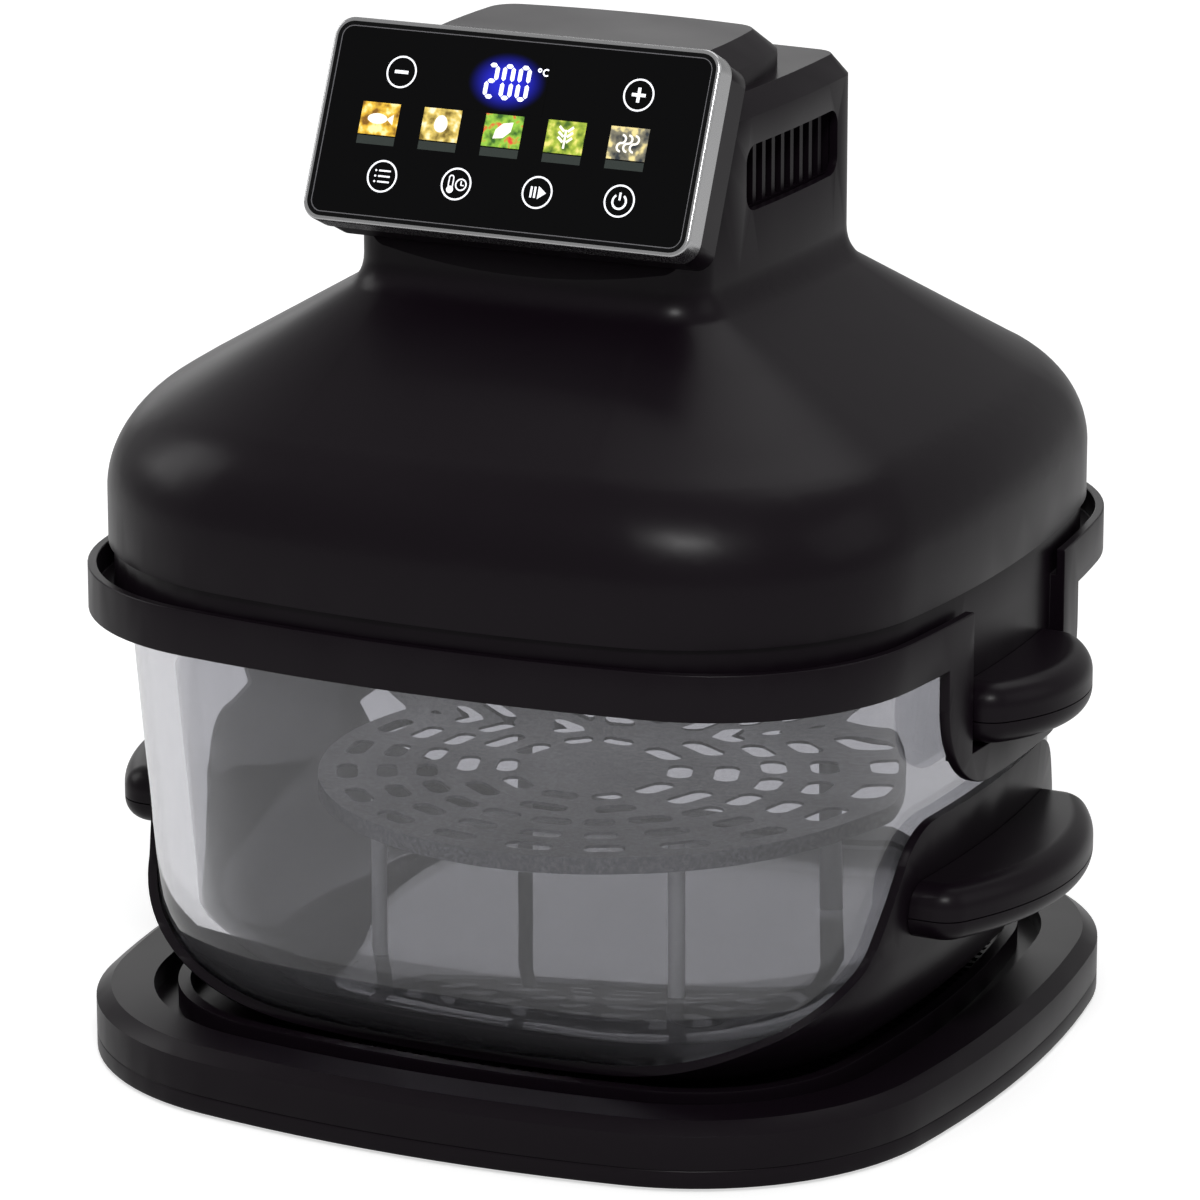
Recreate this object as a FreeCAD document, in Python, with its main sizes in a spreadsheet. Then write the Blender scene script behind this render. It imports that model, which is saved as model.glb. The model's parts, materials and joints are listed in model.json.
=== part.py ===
"""Glass air fryer: a glass bowl in a cradle on a stand, under a lift-off heater head.

Millimetres, +Z up, front at -Y, origin on the table under the centre of the stand.
"""

import FreeCAD
import Part
import math
import os
import Sketcher

V = FreeCAD.Vector
UP = V(0, 0, 1)

doc = FreeCAD.newDocument("glass_air_fryer")
sizes = doc.addObject("Spreadsheet::Sheet", "sizes")

# Driving dimensions

DIMENSIONS = {
    # Shared clearances
    "seat_gap": 0.2,
    "rest_gap": 0.3,
    "loose_gap": 0.6,
    "run_gap": 0.05,
    "cut_through": 1.0,
    # Bowl and cradle: the rim of the bowl drives the plan of everything else
    "bowl_half_top": 137.5,
    "bowl_draft": 6.5,
    "bowl_bow": 3.375,
    "bowl_round": 0.556,
    "bowl_edge_radius": 38.0,
    "bowl_top": 157.0,
    "glass_wall": 5.0,
    "glass_floor": 6.5,
    "cradle_wall": 3.0,
    "cradle_top_share": 0.63,
    "cradle_top_half": 56.0,
    "cradle_waist_half": 76.0,
    "cradle_waist_rise": 43.0,
    "cradle_low_half": 112.0,
    "cradle_low_rise": 14.0,
    "cradle_corner": 20.0,
    "pad_radius": 8.0,
    "pad_inset": 66.0,
    "pad_height": 1.0,
    # Stand, from the bowl's rim outwards
    "stand_overhang": 12.5,
    "stand_bow": 3.07,
    "stand_round": 0.567,
    "foot_stand_off": 1.2,
    "stand_cover_height": 6.2,
    "stand_face_top": 18.5,
    "stand_top": 22.0,
    "stand_bevel": 5.0,
    "stand_wall": 3.0,
    "moat_inset": 19.0,
    "moat_floor": 15.0,
    "rim_inset": 27.0,
    "rim_width": 4.0,
    "rim_top": 23.0,
    "seat_floor": 17.0,
    "slot_width": 3.0,
    "slot_length": 13.0,
    "slot_inset": 5.0,
    "slots_per_side": 26.0,
    "foot_radius": 9.0,
    "foot_inset": 48.0,
    "screw_radius": 2.2,
    "screw_head_height": 1.8,
    "screw_head_sink": 0.6,
    "screw_wall": 3.3,
    # Handles
    "bowl_handle_share": 0.395,
    "bowl_handle_height": 18.5,
    "bowl_handle_half_length": 58.0,
    "bowl_handle_projection": 27.0,
    "lid_handle_bottom": -35.5,
    "lid_handle_height": 20.0,
    "lid_handle_half_length": 37.0,
    "lid_handle_projection": 29.0,
    "handle_root": 20.0,
    "handle_end_share": 0.32,
    "handle_seam_share": 0.42,
    "handle_seam_gap": 0.4,
    "handle_end_round": 11.0,
    "handle_edge_round": 7.5,
    # Crisper
    "crisper_share": 0.673,
    "crisper_top": 85.0,
    "crisper_rim": 5.5,
    "crisper_sheet": 1.0,
    "crisper_rings": 5.0,
    "crisper_slots_per_ring": 20.0,
    "crisper_slot_share": 0.6,
    "crisper_slot_width_share": 0.0757,
    "crisper_web_share": 0.032,
    "crisper_ring_pitch_share": 0.1405,
    "crisper_margin_share": 0.1027,
    "crisper_legs": 4.0,
    "crisper_leg_share": 0.027,
    # Head: ring and housing, with heights above the bowl's rim
    "ring_overhang": 9.0,
    "ring_bow": 3.81,
    "ring_round": 0.49,
    "ring_bottom": -6.0,
    "ring_top": 9.0,
    "ring_wall": 3.0,
    "gutter_floor": 0.6,
    "gutter_floor_thickness": 3.0,
    "ring_inner_wall": 2.6,
    "dome_overhang": 6.0,
    "dome_recess": 1.8,
    "dome_bottom": 15.0,
    "shoulder_start": 32.0,
    "shoulder_radius": 36.0,
    "neck_radius": 12.0,
    "neck_top": 105.9,
    "housing_wall": 2.8,
    "tower_half_width": 64.5,
    "tower_front": 62.0,
    "tower_back": 58.0,
    "tower_taper": 0.05,
    "tower_corner_radius": 13.0,
    "tower_side_radius": 600.0,
    "tower_top": 162.0,
    "tower_bevel_height": 6.5,
    "tower_bevel_inset": 5.5,
    "least_corner": 2.0,
    "plateau_half_width": 55.0,
    "plateau_back": 31.0,
    "plateau_side_height": 6.0,
    "plateau_bevel": 6.5,
    "plateau_bevel_inset": 8.0,
    "plateau_bow": 260.0,
    "plateau_corner": 17.0,
    "plateau_root": 4.0,
    "ear_side": 16.5,
    "ear_bottom": -49.0,
    "ear_wall": 3.5,
    "ear_corner": 30.0,
    "pocket_clear": 1.4,
    "gasket_height": 2.2,
    "gasket_width": 4.5,
    # Side vents
    "vent_length": 66.0,
    "vent_height": 21.0,
    "vent_centre_y": 4.2,
    "vent_centre_z": 136.0,
    "vent_corner": 5.5,
    "vent_depth": 9.0,
    "vent_bars": 9.0,
    "vent_bar_width": 2.2,
    "vent_frame": 2.2,
    "vent_seat": 1.8,
    # Control panel
    "panel_width": 132.6,
    "panel_height": 65.6,
    "panel_tilt": 25.0,
    "panel_y": -68.5,
    "panel_z": 152.5,
    "panel_corner": 6.5,
    "bezel_depth": 10.0,
    "bezel_rim": 2.2,
    "glass_sheet": 2.0,
    "pod_depth": 15.0,
    "pod_seat_share": 0.6,
    "pod_inset": 0.8,
    "pod_wall": 2.5,
    "harness_width": 60.0,
    "harness_height": 24.0,
    "harness_reach": 40.0,
    "board_thickness": 1.6,
    # Heater and drive
    "reflector_sheet": 1.0,
    "reflector_flange": 3.0,
    "dish_share": 0.7564,
    "dish_top": 29.0,
    "guard_lap": 5.0,
    "guard_margin": 3.0,
    "guard_spoke": 4.0,
    "guard_sheet": 1.2,
    "guard_rings": 5.0,
    "element_tube_radius": 3.2,
    "element_outer_share": 0.7885,
    "element_inner_share": 0.5962,
    "element_z": 8.0,
    "element_bend": 8.0,
    "element_end_gap": 17.0,
    "probe_radius": 2.0,
    "probe_offset": 12.0,
    "probe_collar_radius": 4.5,
    "probe_collar_height": 2.0,
    "probe_tail": 6.0,
    "shaft_radius": 3.0,
    "shaft_tail": 4.0,
    "fan_share": 0.4808,
    "fan_bottom": 15.0,
    "fan_height": 9.0,
    "fan_blades": 7.0,
    "fan_hub": 9.0,
    "fan_blade_sheet": 1.2,
    "nut_wall": 4.0,
    "motor_radius": 30.0,
    "motor_bottom": 37.0,
    "motor_height": 30.0,
    "motor_grooves": 12.0,
    "motor_groove_depth": 3.0,
    "motor_groove_width": 4.0,
    "motor_end": 6.0,
    "bracket_radius": 44.0,
    "bracket_sheet": 2.0,
    "bracket_leg": 5.0,
    "cooling_fan_radius": 38.0,
    "cooling_fan_bottom": 72.0,
    "cooling_fan_height": 7.0,
    "power_board_width": 96.0,
    "power_board_height": 44.0,
    "power_board_setback": 10.0,
    "power_board_drop": 11.0,
    "post_radius": 3.5,
    "post_inset": 6.0,
    "sensor_x": 30.0,
    "sensor_inset": 12.0,
    "sensor_width": 18.0,
    "sensor_depth": 8.0,
    "sensor_height": 10.0,
    "gland_radius": 8.0,
    "gland_z": 120.0,
    "gland_lip": 3.0,
    "gland_lip_height": 2.5,
    "gland_tail": 3.0,
    "cord_radius": 3.6,
}

for row, (alias, number) in enumerate(DIMENSIONS.items(), start=1):
    sizes.set(f"A{row}", alias)
    sizes.set(f"B{row}", str(number))
    sizes.setAlias(f"B{row}", alias)
doc.recompute()


def size(alias):
    """A driving dimension, read from the sheet."""
    return float(sizes.get(alias))


def bind(thing, **expressions):
    """Ties properties of a document object to cells of the sheet."""
    for name, expression in expressions.items():
        thing.setExpression(name, expression)
    return thing


def bowl_rim(grow):
    """Half the bowl's width at its rim, grown outwards."""
    return size("bowl_half_top") + grow


def stand_half():
    return bowl_rim(size("stand_overhang"))


def ring_half():
    return bowl_rim(size("ring_overhang"))


def dome_half():
    return bowl_rim(size("dome_overhang"))


def crisper_radius():
    return bowl_rim(0) * size("crisper_share")


def dish_radius():
    return bowl_rim(0) * size("dish_share")


def handle_reach():
    return bowl_rim(size("lid_handle_projection"))


def above_rim(alias):
    """A height of the head, which sits on the bowl's rim."""
    return size("bowl_top") + size(alias)


exported = []


def piece(label, shape):
    """A sub-part whose shape comes from Part's own functions."""
    thing = doc.addObject("Part::Feature", label)
    thing.Label = label
    thing.Shape = shape
    exported.append(thing)
    return thing


def export_as(label, thing):
    """Names a parametric object as a sub-part."""
    thing.Label = label
    exported.append(thing)
    return thing


# Bowed rounded rectangles


def corner_centre(half_x, half_y, side_x, side_y, corner):
    """Centre of the corner arc that touches both bowed sides from inside."""
    x = half_x - corner
    y = half_y - corner
    for _ in range(60):
        ax, ay = x - (half_x - side_x), y
        bx, by = x, y - (half_y - side_y)
        f1 = math.hypot(ax, ay) - (side_x - corner)
        f2 = math.hypot(bx, by) - (side_y - corner)
        j11, j12 = ax / math.hypot(ax, ay), ay / math.hypot(ax, ay)
        j21, j22 = bx / math.hypot(bx, by), by / math.hypot(bx, by)
        det = j11 * j22 - j12 * j21
        x -= (f1 * j22 - f2 * j12) / det
        y -= (j11 * f2 - j21 * f1) / det
    return x, y


def outline(half_x, half_y, side_radius, corner, z, centre_y=0.0, taper=0.0):
    """A closed wire of four bowed sides and four corner arcs at height z.

    taper widens it towards +Y, as a share of the distance from the centre line.
    """
    cx, cy = corner_centre(half_x, half_y, side_radius, side_radius, corner)
    x_side = math.atan2(cy, cx - (half_x - side_radius))
    y_side = math.atan2(cy - (half_y - side_radius), cx)

    def place(x, y):
        return V(x * (1 + taper * y / half_x), y + centre_y, z)

    def arc(mx, my, radius, start, end):
        angles = (start, (start + end) / 2, end)
        points = [place(mx + radius * math.cos(a), my + radius * math.sin(a)) for a in angles]
        return Part.Arc(*points).toShape()

    turn = math.pi
    edges = [
        arc(half_x - side_radius, 0, side_radius, -x_side, x_side),
        arc(cx, cy, corner, x_side, y_side),
        arc(0, half_y - side_radius, side_radius, y_side, turn - y_side),
        arc(-cx, cy, corner, turn - y_side, turn - x_side),
        arc(side_radius - half_x, 0, side_radius, turn - x_side, turn + x_side),
        arc(-cx, -cy, corner, turn + x_side, turn + y_side),
        arc(0, side_radius - half_y, side_radius, turn + y_side, 2 * turn - y_side),
        arc(cx, -cy, corner, 2 * turn - y_side, 2 * turn - x_side),
    ]
    return Part.Wire(edges)


def square(half, side_radius, corner, z):
    return outline(half, half, side_radius, corner, z)


def prism(wire, height):
    """A solid that stands on a flat wire."""
    return Part.Face(wire).extrude(V(0, 0, height))


def loft(wires, ruled=False):
    return Part.makeLoft(wires, True, ruled)


def slab(x0, x1, y0, y1, z0, z1):
    return Part.makeBox(x1 - x0, y1 - y0, z1 - z0, V(x0, y0, z0))


def rod(radius, x, y, z0, z1):
    return Part.makeCylinder(radius, z1 - z0, V(x, y, z0))


def mirrored_x(shape):
    return shape.mirror(V(0, 0, 0), V(1, 0, 0))


# Stand


def stand_outline(inset, z):
    half = stand_half()
    return square(half - inset, half * size("stand_bow"), half * size("stand_round") - inset, z)


def make_stand():
    base = size("foot_stand_off")
    seam = base + size("stand_cover_height")
    face_top = size("stand_face_top")
    top = size("stand_top")
    wall = size("stand_wall")
    bevel = size("stand_bevel")
    body = prism(stand_outline(0, seam), face_top - seam)
    body = body.fuse(loft([stand_outline(0, face_top), stand_outline(bevel, top)], True))
    rim = size("rim_inset")
    moat = prism(stand_outline(size("moat_inset"), size("moat_floor")), top)
    moat = moat.cut(prism(stand_outline(rim, size("moat_floor")), top))
    body = body.cut(moat)
    body = body.fuse(prism(stand_outline(rim, top), size("rim_top") - top))
    body = body.cut(prism(stand_outline(rim + size("rim_width"), size("seat_floor")), top))
    under = prism(stand_outline(wall, seam), size("moat_floor") - wall - seam)
    body = body.cut(under)
    boss_top = size("moat_floor") - wall
    for x, y in screw_places():
        body = body.fuse(rod(size("screw_radius") + size("screw_wall"), x, y, seam, boss_top))
        body = body.cut(rod(size("screw_radius"), x, y, seam, boss_top))
    slots = stand_slots()
    body = body.cut(slots)
    piece("stand_top", body)

    head_low = base + size("screw_head_sink")
    head_top = head_low + size("screw_head_height")
    cover = prism(stand_outline(0, base), size("stand_cover_height"))
    cover = cover.cut(prism(stand_outline(wall, base + wall), size("stand_cover_height")))
    for x, y in screw_places():
        cover = cover.fuse(rod(screw_head_radius() + size("screw_wall") / 2, x, y, base + wall, seam))
        cover = cover.cut(rod(size("screw_radius"), x, y, base, seam))
        cover = cover.cut(rod(screw_head_radius(), x, y, base, head_top))
    piece("stand_bottom_cover", cover)
    feet = [rod(size("foot_radius"), x, y, 0, base) for x, y in foot_places()]
    piece("stand_feet", Part.makeCompound(feet))
    screws = []
    for x, y in screw_places():
        shank = rod(size("screw_radius") - size("run_gap"), x, y, head_low, boss_top - size("cut_through"))
        head = rod(screw_head_radius() - size("seat_gap"), x, y, head_low, head_top)
        screws.append(shank.fuse(head))
    piece("stand_screws", Part.makeCompound(screws))


def screw_head_radius():
    return 2 * size("screw_radius")


def foot_places():
    reach = stand_half() - size("foot_inset")
    return [(sx * reach, sy * reach) for sx in (-1, 1) for sy in (-1, 1)]


def screw_places():
    reach = stand_half() - 2 * size("foot_inset") + size("foot_radius")
    return [(sx * reach, sy * reach) for sx in (-1, 1) for sy in (-1, 1)]


def stand_slots():
    """Vent slots through the seat floor, square to its edge, along all four sides."""
    count = int(size("slots_per_side"))
    half, through = stand_half(), size("cut_through")
    outer = half - size("rim_inset") - size("rim_width") - size("slot_inset")
    length, width = size("slot_length"), size("slot_width")
    bow = half * size("stand_bow")
    straight = outer - half * size("stand_round") / 2
    pitch = 2 * straight / count
    low, high = size("moat_floor") - size("stand_wall") - through, size("seat_floor") + through
    slots = []
    for k in range(count + 1):
        along = -straight + k * pitch
        sag = bow - math.sqrt(bow**2 - along**2)
        bar = slab(along - width / 2, along + width / 2, -outer + sag, -outer + sag + length, low, high)
        for quarter in range(4):
            slots.append(bar.rotated(V(0, 0, 0), UP, 90 * quarter))
    return Part.makeCompound(slots)


# Bowl


def rim_outline(grow, z):
    """The outline of the bowl's rim, grown outwards all round."""
    half = bowl_rim(0)
    return square(half + grow, half * size("bowl_bow") + grow, half * size("bowl_round") + grow, z)


def bowl_skin(offset, top, floor):
    """The bowl's outer form grown by offset, standing on floor, cut level at top."""
    edge = size("bowl_edge_radius") + offset
    side = bowl_rim(0) * size("bowl_bow") + offset
    corner = bowl_rim(0) * size("bowl_round") + offset
    half_low = bowl_rim(offset) - size("bowl_draft")
    low_z = floor + edge
    slope = size("bowl_draft") / (size("bowl_top") - bowl_low_z())
    wire_top = square(half_low + slope * (top - low_z), side, corner, top)
    wall = loft([square(half_low, side, corner, low_z), wire_top], True)
    steps = 4
    rounds = []
    for k in range(steps + 1):
        angle = math.radians(90 * k / steps)
        inset = edge * (1 - math.sin(angle))
        z = low_z - edge * math.cos(angle)
        rounds.append(square(half_low - inset, side, corner - inset * 0.75, z))
    return wall.fuse(loft(rounds))


def cradle_floor():
    return size("seat_floor") + size("rest_gap")


def cradle_top():
    return size("bowl_top") * size("cradle_top_share")


def bowl_floor():
    return cradle_floor() + size("cradle_wall") + size("pad_height")


def bowl_low_z():
    return bowl_floor() + size("bowl_edge_radius")


def make_bowl():
    wall = size("glass_wall")
    floor = bowl_floor()
    top = size("bowl_top")
    glass = bowl_skin(0, top, floor)
    glass = glass.cut(bowl_skin(-wall, top + size("cut_through"), floor + size("glass_floor")))
    piece("glass_bowl", glass)

    gap = size("pad_height")
    low, top_z = cradle_floor(), cradle_top()
    shell = bowl_skin(gap + size("cradle_wall"), top_z, low)
    shell = shell.cut(bowl_skin(gap, top_z + size("cut_through"), floor - gap))
    # The cradle's edge falls in an S from the tabs at its sides to a low lip in front and behind
    edge = [
        (size("cradle_low_half"), low - size("cut_through")),
        (size("cradle_low_half"), low + size("cradle_low_rise")),
        (size("cradle_waist_half"), low + size("cradle_waist_rise")),
        (size("cradle_top_half"), top_z),
    ]
    reach = handle_reach()
    side = [V(-reach, y, z) for y, z in edge] + [V(-reach, -y, z) for y, z in reversed(edge)]
    saddle = Part.Face(Part.makePolygon(side + side[:1])).extrude(V(2 * reach, 0, 0))
    bends = [e for e in saddle.Edges if e.BoundBox.XLength > reach and e.BoundBox.ZMin > low]
    saddle = saddle.makeFillet(size("cradle_corner"), bends)
    piece("bowl_cradle", shell.common(saddle))

    pads = []
    for sx in (-1, 1):
        for sy in (-1, 1):
            x, y = sx * size("pad_inset"), sy * size("pad_inset")
            pads.append(rod(size("pad_radius"), x, y, floor - gap, floor))
    piece("cradle_pads", Part.makeCompound(pads))


# Handles


def lug(start, reach, bottom, height, half_length):
    """A half-moon grip on the +X side, from start out to its reach."""
    root = start - size("handle_root")
    end = start + (reach - start) * size("handle_end_share")
    corners = [
        V(root, half_length, bottom),
        V(root, -half_length, bottom),
        V(end, -half_length, bottom),
        V(end, half_length, bottom),
    ]
    edges = [
        Part.LineSegment(corners[0], corners[1]).toShape(),
        Part.LineSegment(corners[1], corners[2]).toShape(),
        Part.Arc(corners[2], V(reach, 0, bottom), corners[3]).toShape(),
        Part.LineSegment(corners[3], corners[0]).toShape(),
    ]
    solid = prism(Part.Wire(edges), height)
    ends = [e for e in solid.Edges if e.BoundBox.ZLength > height / 2 and e.BoundBox.XMin > start]
    solid = solid.makeFillet(size("handle_end_round"), ends)
    level = [e for e in solid.Edges if e.BoundBox.ZLength < height / 2 and e.BoundBox.XMax > start]
    return solid.makeFillet(size("handle_edge_round"), level)


def split_lug(solid, bottom, height):
    """Upper and lower grip shells, parted along the seam."""
    seam = bottom + height * size("handle_seam_share")
    half_gap = size("handle_seam_gap") / 2
    far = 2 * bowl_rim(0)
    upper = solid.common(slab(0, far, -far, far, seam + half_gap, bottom + height))
    lower = solid.common(slab(0, far, -far, far, bottom, seam - half_gap))
    return upper, lower


def make_handles():
    gap = size("seat_gap")
    skin = size("pad_height") + size("cradle_wall")
    cradle_face = bowl_skin(skin + gap, size("bowl_top"), cradle_floor() - gap)
    bottom, height = size("bowl_top") * size("bowl_handle_share"), size("bowl_handle_height")
    reach = bowl_rim(size("bowl_handle_projection"))
    grip = lug(bowl_rim(0), reach, bottom, height, size("bowl_handle_half_length")).cut(cradle_face)
    upper, lower = split_lug(grip, bottom, height)
    piece("bowl_handle_right_upper", upper)
    piece("bowl_handle_right_lower", lower)
    piece("bowl_handle_left_upper", mirrored_x(upper))
    piece("bowl_handle_left_lower", mirrored_x(lower))

    bottom, height = above_rim("lid_handle_bottom"), size("lid_handle_height")
    strip = prism(dome_square(size("dome_recess") - gap, bottom), height)
    grip = lug(dome_half(), handle_reach(), bottom, height, size("lid_handle_half_length")).cut(strip)
    upper, lower = split_lug(grip, bottom, height)
    piece("lid_handle_right_upper", upper)
    piece("lid_handle_right_lower", lower)
    piece("lid_handle_left_upper", mirrored_x(upper))
    piece("lid_handle_left_lower", mirrored_x(lower))


# Crisper plate


def crisper_slot_width():
    return crisper_radius() * size("crisper_slot_width_share")


def crisper_slot_length(radius, count):
    pitch = 2 * math.pi * radius / count
    return max(pitch * size("crisper_slot_share"), 2 * crisper_slot_width())


def crisper_slot(radius, length):
    """A slot with round ends that lies across the +X axis at the given radius."""
    half = crisper_slot_width() / 2
    reach = length / 2 - half
    high, through = size("crisper_top"), size("cut_through")
    low = high - size("crisper_sheet") - through
    slot = slab(radius - half, radius + half, -reach, reach, low, high + through)
    for y in (-reach, reach):
        slot = slot.fuse(rod(half, radius, y, low, high + through))
    return slot


def make_crisper():
    radius, high, sheet = crisper_radius(), size("crisper_top"), size("crisper_sheet")
    low = high - size("crisper_rim")
    plate = rod(radius, 0, 0, low, high).cut(rod(radius - sheet, 0, 0, low, high - sheet))
    outermost = radius * (1 - size("crisper_margin_share"))
    pitch = radius * size("crisper_ring_pitch_share")
    slots = []
    for ring in range(int(size("crisper_rings"))):
        place = outermost - ring * pitch
        count = int(size("crisper_slots_per_ring"))
        # Rings near the middle have no room for as many slots
        web = 2 * math.pi * place / count - crisper_slot_length(place, count)
        if web < radius * size("crisper_web_share"):
            count = count // 2
        slot = crisper_slot(place, crisper_slot_length(place, count))
        for k in range(count):
            slots.append(slot.rotated(V(0, 0, 0), UP, 360 * (k + 1 / 2) / count))
    piece("crisper_plate", plate.cut(Part.makeCompound(slots)))
    # The legs stand in the web between the two outer rings of slots
    floor = bowl_floor() + size("glass_floor") + size("rest_gap")
    leg = rod(radius * size("crisper_leg_share"), outermost - pitch / 2, 0, floor, high - sheet)
    legs = int(size("crisper_legs"))
    feet = [leg.rotated(V(0, 0, 0), UP, 360 * (k + 1 / 2) / legs) for k in range(legs)]
    piece("crisper_feet", Part.makeCompound(feet))


# Head: ring with ears


def ring_outline(inset, z):
    half = ring_half()
    return square(half - inset, half * size("ring_bow"), half * size("ring_round") - inset, z)


def dome_square(inset, z):
    return rim_outline(size("dome_overhang") - inset, z)


def pocket_low():
    return above_rim("lid_handle_bottom") - size("pocket_clear")


def make_ring():
    low, high = above_rim("ring_bottom"), above_rim("ring_top")
    wall, through = size("ring_wall"), size("cut_through")
    band = prism(ring_outline(0, low), high - low)
    band = band.cut(prism(ring_outline(wall, low - through), high - low + 2 * through))
    pocket_half = size("lid_handle_half_length") + size("pocket_clear")
    ear_low, half = above_rim("ear_bottom"), pocket_half + size("ear_side")
    far = handle_reach()
    plate = prism(ring_outline(0, ear_low), low - ear_low)
    within = prism(ring_outline(size("ear_wall"), ear_low - through), low - ear_low + 2 * through)
    plate = plate.cut(within)
    window = slab(0, far, -half, half, ear_low, low)
    lower = [e for e in window.Edges if e.BoundBox.XLength > far / 2 and e.BoundBox.ZMax < ear_low + through]
    window = window.makeFillet(size("ear_corner"), lower)
    ear = plate.common(window)
    ring = band.fuse(ear).fuse(mirrored_x(ear))

    # Each ear has a finger pocket, lined all round but for its open top
    recess = size("dome_recess")
    inner = recess + size("ring_inner_wall")
    pocket = slab(0, far, -pocket_half, pocket_half, pocket_low(), high + through)
    pocket = pocket.cut(prism(dome_square(recess, pocket_low() - through), high))
    floor_top = above_rim("gutter_floor")
    floor_low = floor_top - size("gutter_floor_thickness")
    liner_low = pocket_low() - wall
    liner = prism(ring_outline(size("ear_wall") / 2, liner_low), floor_top - liner_low)
    liner = liner.cut(prism(dome_square(inner, liner_low - through), floor_top))
    liner = liner.common(slab(0, far, -pocket_half - wall, pocket_half + wall, liner_low, floor_top))
    ring = ring.fuse(liner).fuse(mirrored_x(liner))
    collar = prism(dome_square(recess, floor_low), above_rim("dome_bottom") - floor_low)
    floor = prism(ring_outline(wall / 2, floor_low), floor_top - floor_low)
    ring = ring.fuse(floor).cut(pocket).cut(mirrored_x(pocket)).fuse(collar)
    mouth_height = above_rim("dome_bottom") - floor_low + 2 * through
    ring = ring.cut(prism(dome_square(inner, floor_low - through), mouth_height))
    piece("lid_ring", ring)

    gasket_low = size("bowl_top") + size("rest_gap")
    middle, half_width = -size("glass_wall") / 2, size("gasket_width") / 2
    gasket = prism(rim_outline(middle + half_width, gasket_low), size("gasket_height"))
    hollow = prism(rim_outline(middle - half_width, gasket_low), size("gasket_height"))
    piece("lid_gasket", gasket.cut(hollow))


# Head: dome and tower


def tower_outline(inset, z):
    front, back = size("tower_front") - inset, size("tower_back") - inset
    return outline(
        size("tower_half_width") - inset,
        (front + back) / 2,
        size("tower_side_radius"),
        max(size("tower_corner_radius") - inset, size("least_corner")),
        z,
        (back - front) / 2,
        size("tower_taper"),
    )


def blend_outline(share, inset, z):
    """Between the dome's outline at share 0 and the tower's at share 1.

    The corners stay round for longer than the sides take to close in.
    """

    def mix(a, b, part=share):
        return a + (b - a) * part

    front, back = size("tower_front"), size("tower_back")
    dome, grow = dome_half(), size("dome_overhang")
    dome_side = bowl_rim(0) * size("bowl_bow") + grow
    dome_corner = bowl_rim(0) * size("bowl_round") + grow
    return outline(
        mix(dome, size("tower_half_width")) - inset,
        mix(dome, (front + back) / 2) - inset,
        mix(dome_side - inset, size("tower_side_radius")),
        mix(dome_corner, size("tower_corner_radius"), share**2) - inset,
        z,
        mix(0, (back - front) / 2),
        mix(0, size("tower_taper")),
    )


def dome_profile():
    """(share, height) along the dome's silhouette: shoulder arc, slope, neck arc."""
    shoulder, neck = size("shoulder_radius"), size("neck_radius")
    span = dome_half() - size("tower_half_width")
    start = above_rim("shoulder_start")
    height = above_rim("neck_top") - start
    bends = shoulder + neck
    # The turn at which both arcs and a straight line between them span the width and the height
    turn = math.acos(-bends / math.hypot(span - bends, height)) - math.atan2(height, span - bends)
    straight = (span - bends * (1 - math.cos(turn))) / math.sin(turn)
    points = []
    for k in range(4):
        angle = turn * k / 3
        points.append((shoulder * (1 - math.cos(angle)), start + shoulder * math.sin(angle)))
    u, z = points[-1]
    u, z = u + straight * math.sin(turn), z + straight * math.cos(turn)
    points.append((u, z))
    for k in range(1, 4):
        angle = turn * (1 - k / 3)
        across = neck * (math.cos(angle) - math.cos(turn))
        points.append((u + across, z + neck * (math.sin(turn) - math.sin(angle))))
    return [(u / span, z) for u, z in points]


def housing_form(inset):
    """The dome and tower as one solid, drawn in by inset."""
    drop = inset * 0.9
    profile = dome_profile()
    low, start = above_rim("dome_bottom"), profile[0][1]
    skirt = prism(dome_square(inset, low), start - drop - low)
    rings = [blend_outline(share, inset, z - drop) for share, z in profile]
    slope = loft(rings[:4]).fuse(loft(rings[3:5], True)).fuse(loft(rings[4:]))
    neck_top = profile[-1][1] - drop
    bevel_low = above_rim("tower_top") - size("tower_bevel_height")
    tower = prism(tower_outline(inset, neck_top), bevel_low - drop - neck_top)
    cap = loft(
        [
            tower_outline(inset, bevel_low - drop),
            tower_outline(inset + size("tower_bevel_inset"), above_rim("tower_top") - drop),
        ],
        True,
    )
    form = skirt.fuse(slope).fuse(tower).fuse(cap)
    return form.fuse(plateau(inset, drop)).cut(pod_room(inset))


def pod_back():
    """Where the back of the control pod lies, behind the panel's own plane."""
    return -size("bezel_depth") - size("seat_gap") - size("pod_depth")


def pod_room(inset):
    """All that lies in front of the slanted face that carries the control pod."""
    far = bowl_rim(0)
    low = -size("panel_height") * size("pod_seat_share")
    return panel_frame(slab(-far, far, low, far, pod_back() - size("seat_gap") - inset, far))


def plateau(inset, drop):
    """The raised block on the tower's top, bevelled all round."""
    half, back = size("plateau_half_width") - inset, size("plateau_back") - inset
    front = size("tower_front") - size("tower_bevel_inset") - inset
    low = above_rim("tower_top") - drop - size("plateau_root")
    shoulder = above_rim("tower_top") + size("plateau_side_height") - drop
    bevel, draw_in = size("plateau_bevel"), size("plateau_bevel_inset")

    def ring(shrink, z):
        middle = (front + back) / 2
        return outline(
            half - shrink, middle - shrink, size("plateau_bow"),
            max(size("plateau_corner") - shrink, size("least_corner")), z, (back - front) / 2,
        )

    block = prism(ring(0, low), shoulder - low)
    return block.fuse(loft([ring(0, shoulder), ring(draw_in, shoulder + bevel)], True))


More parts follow.
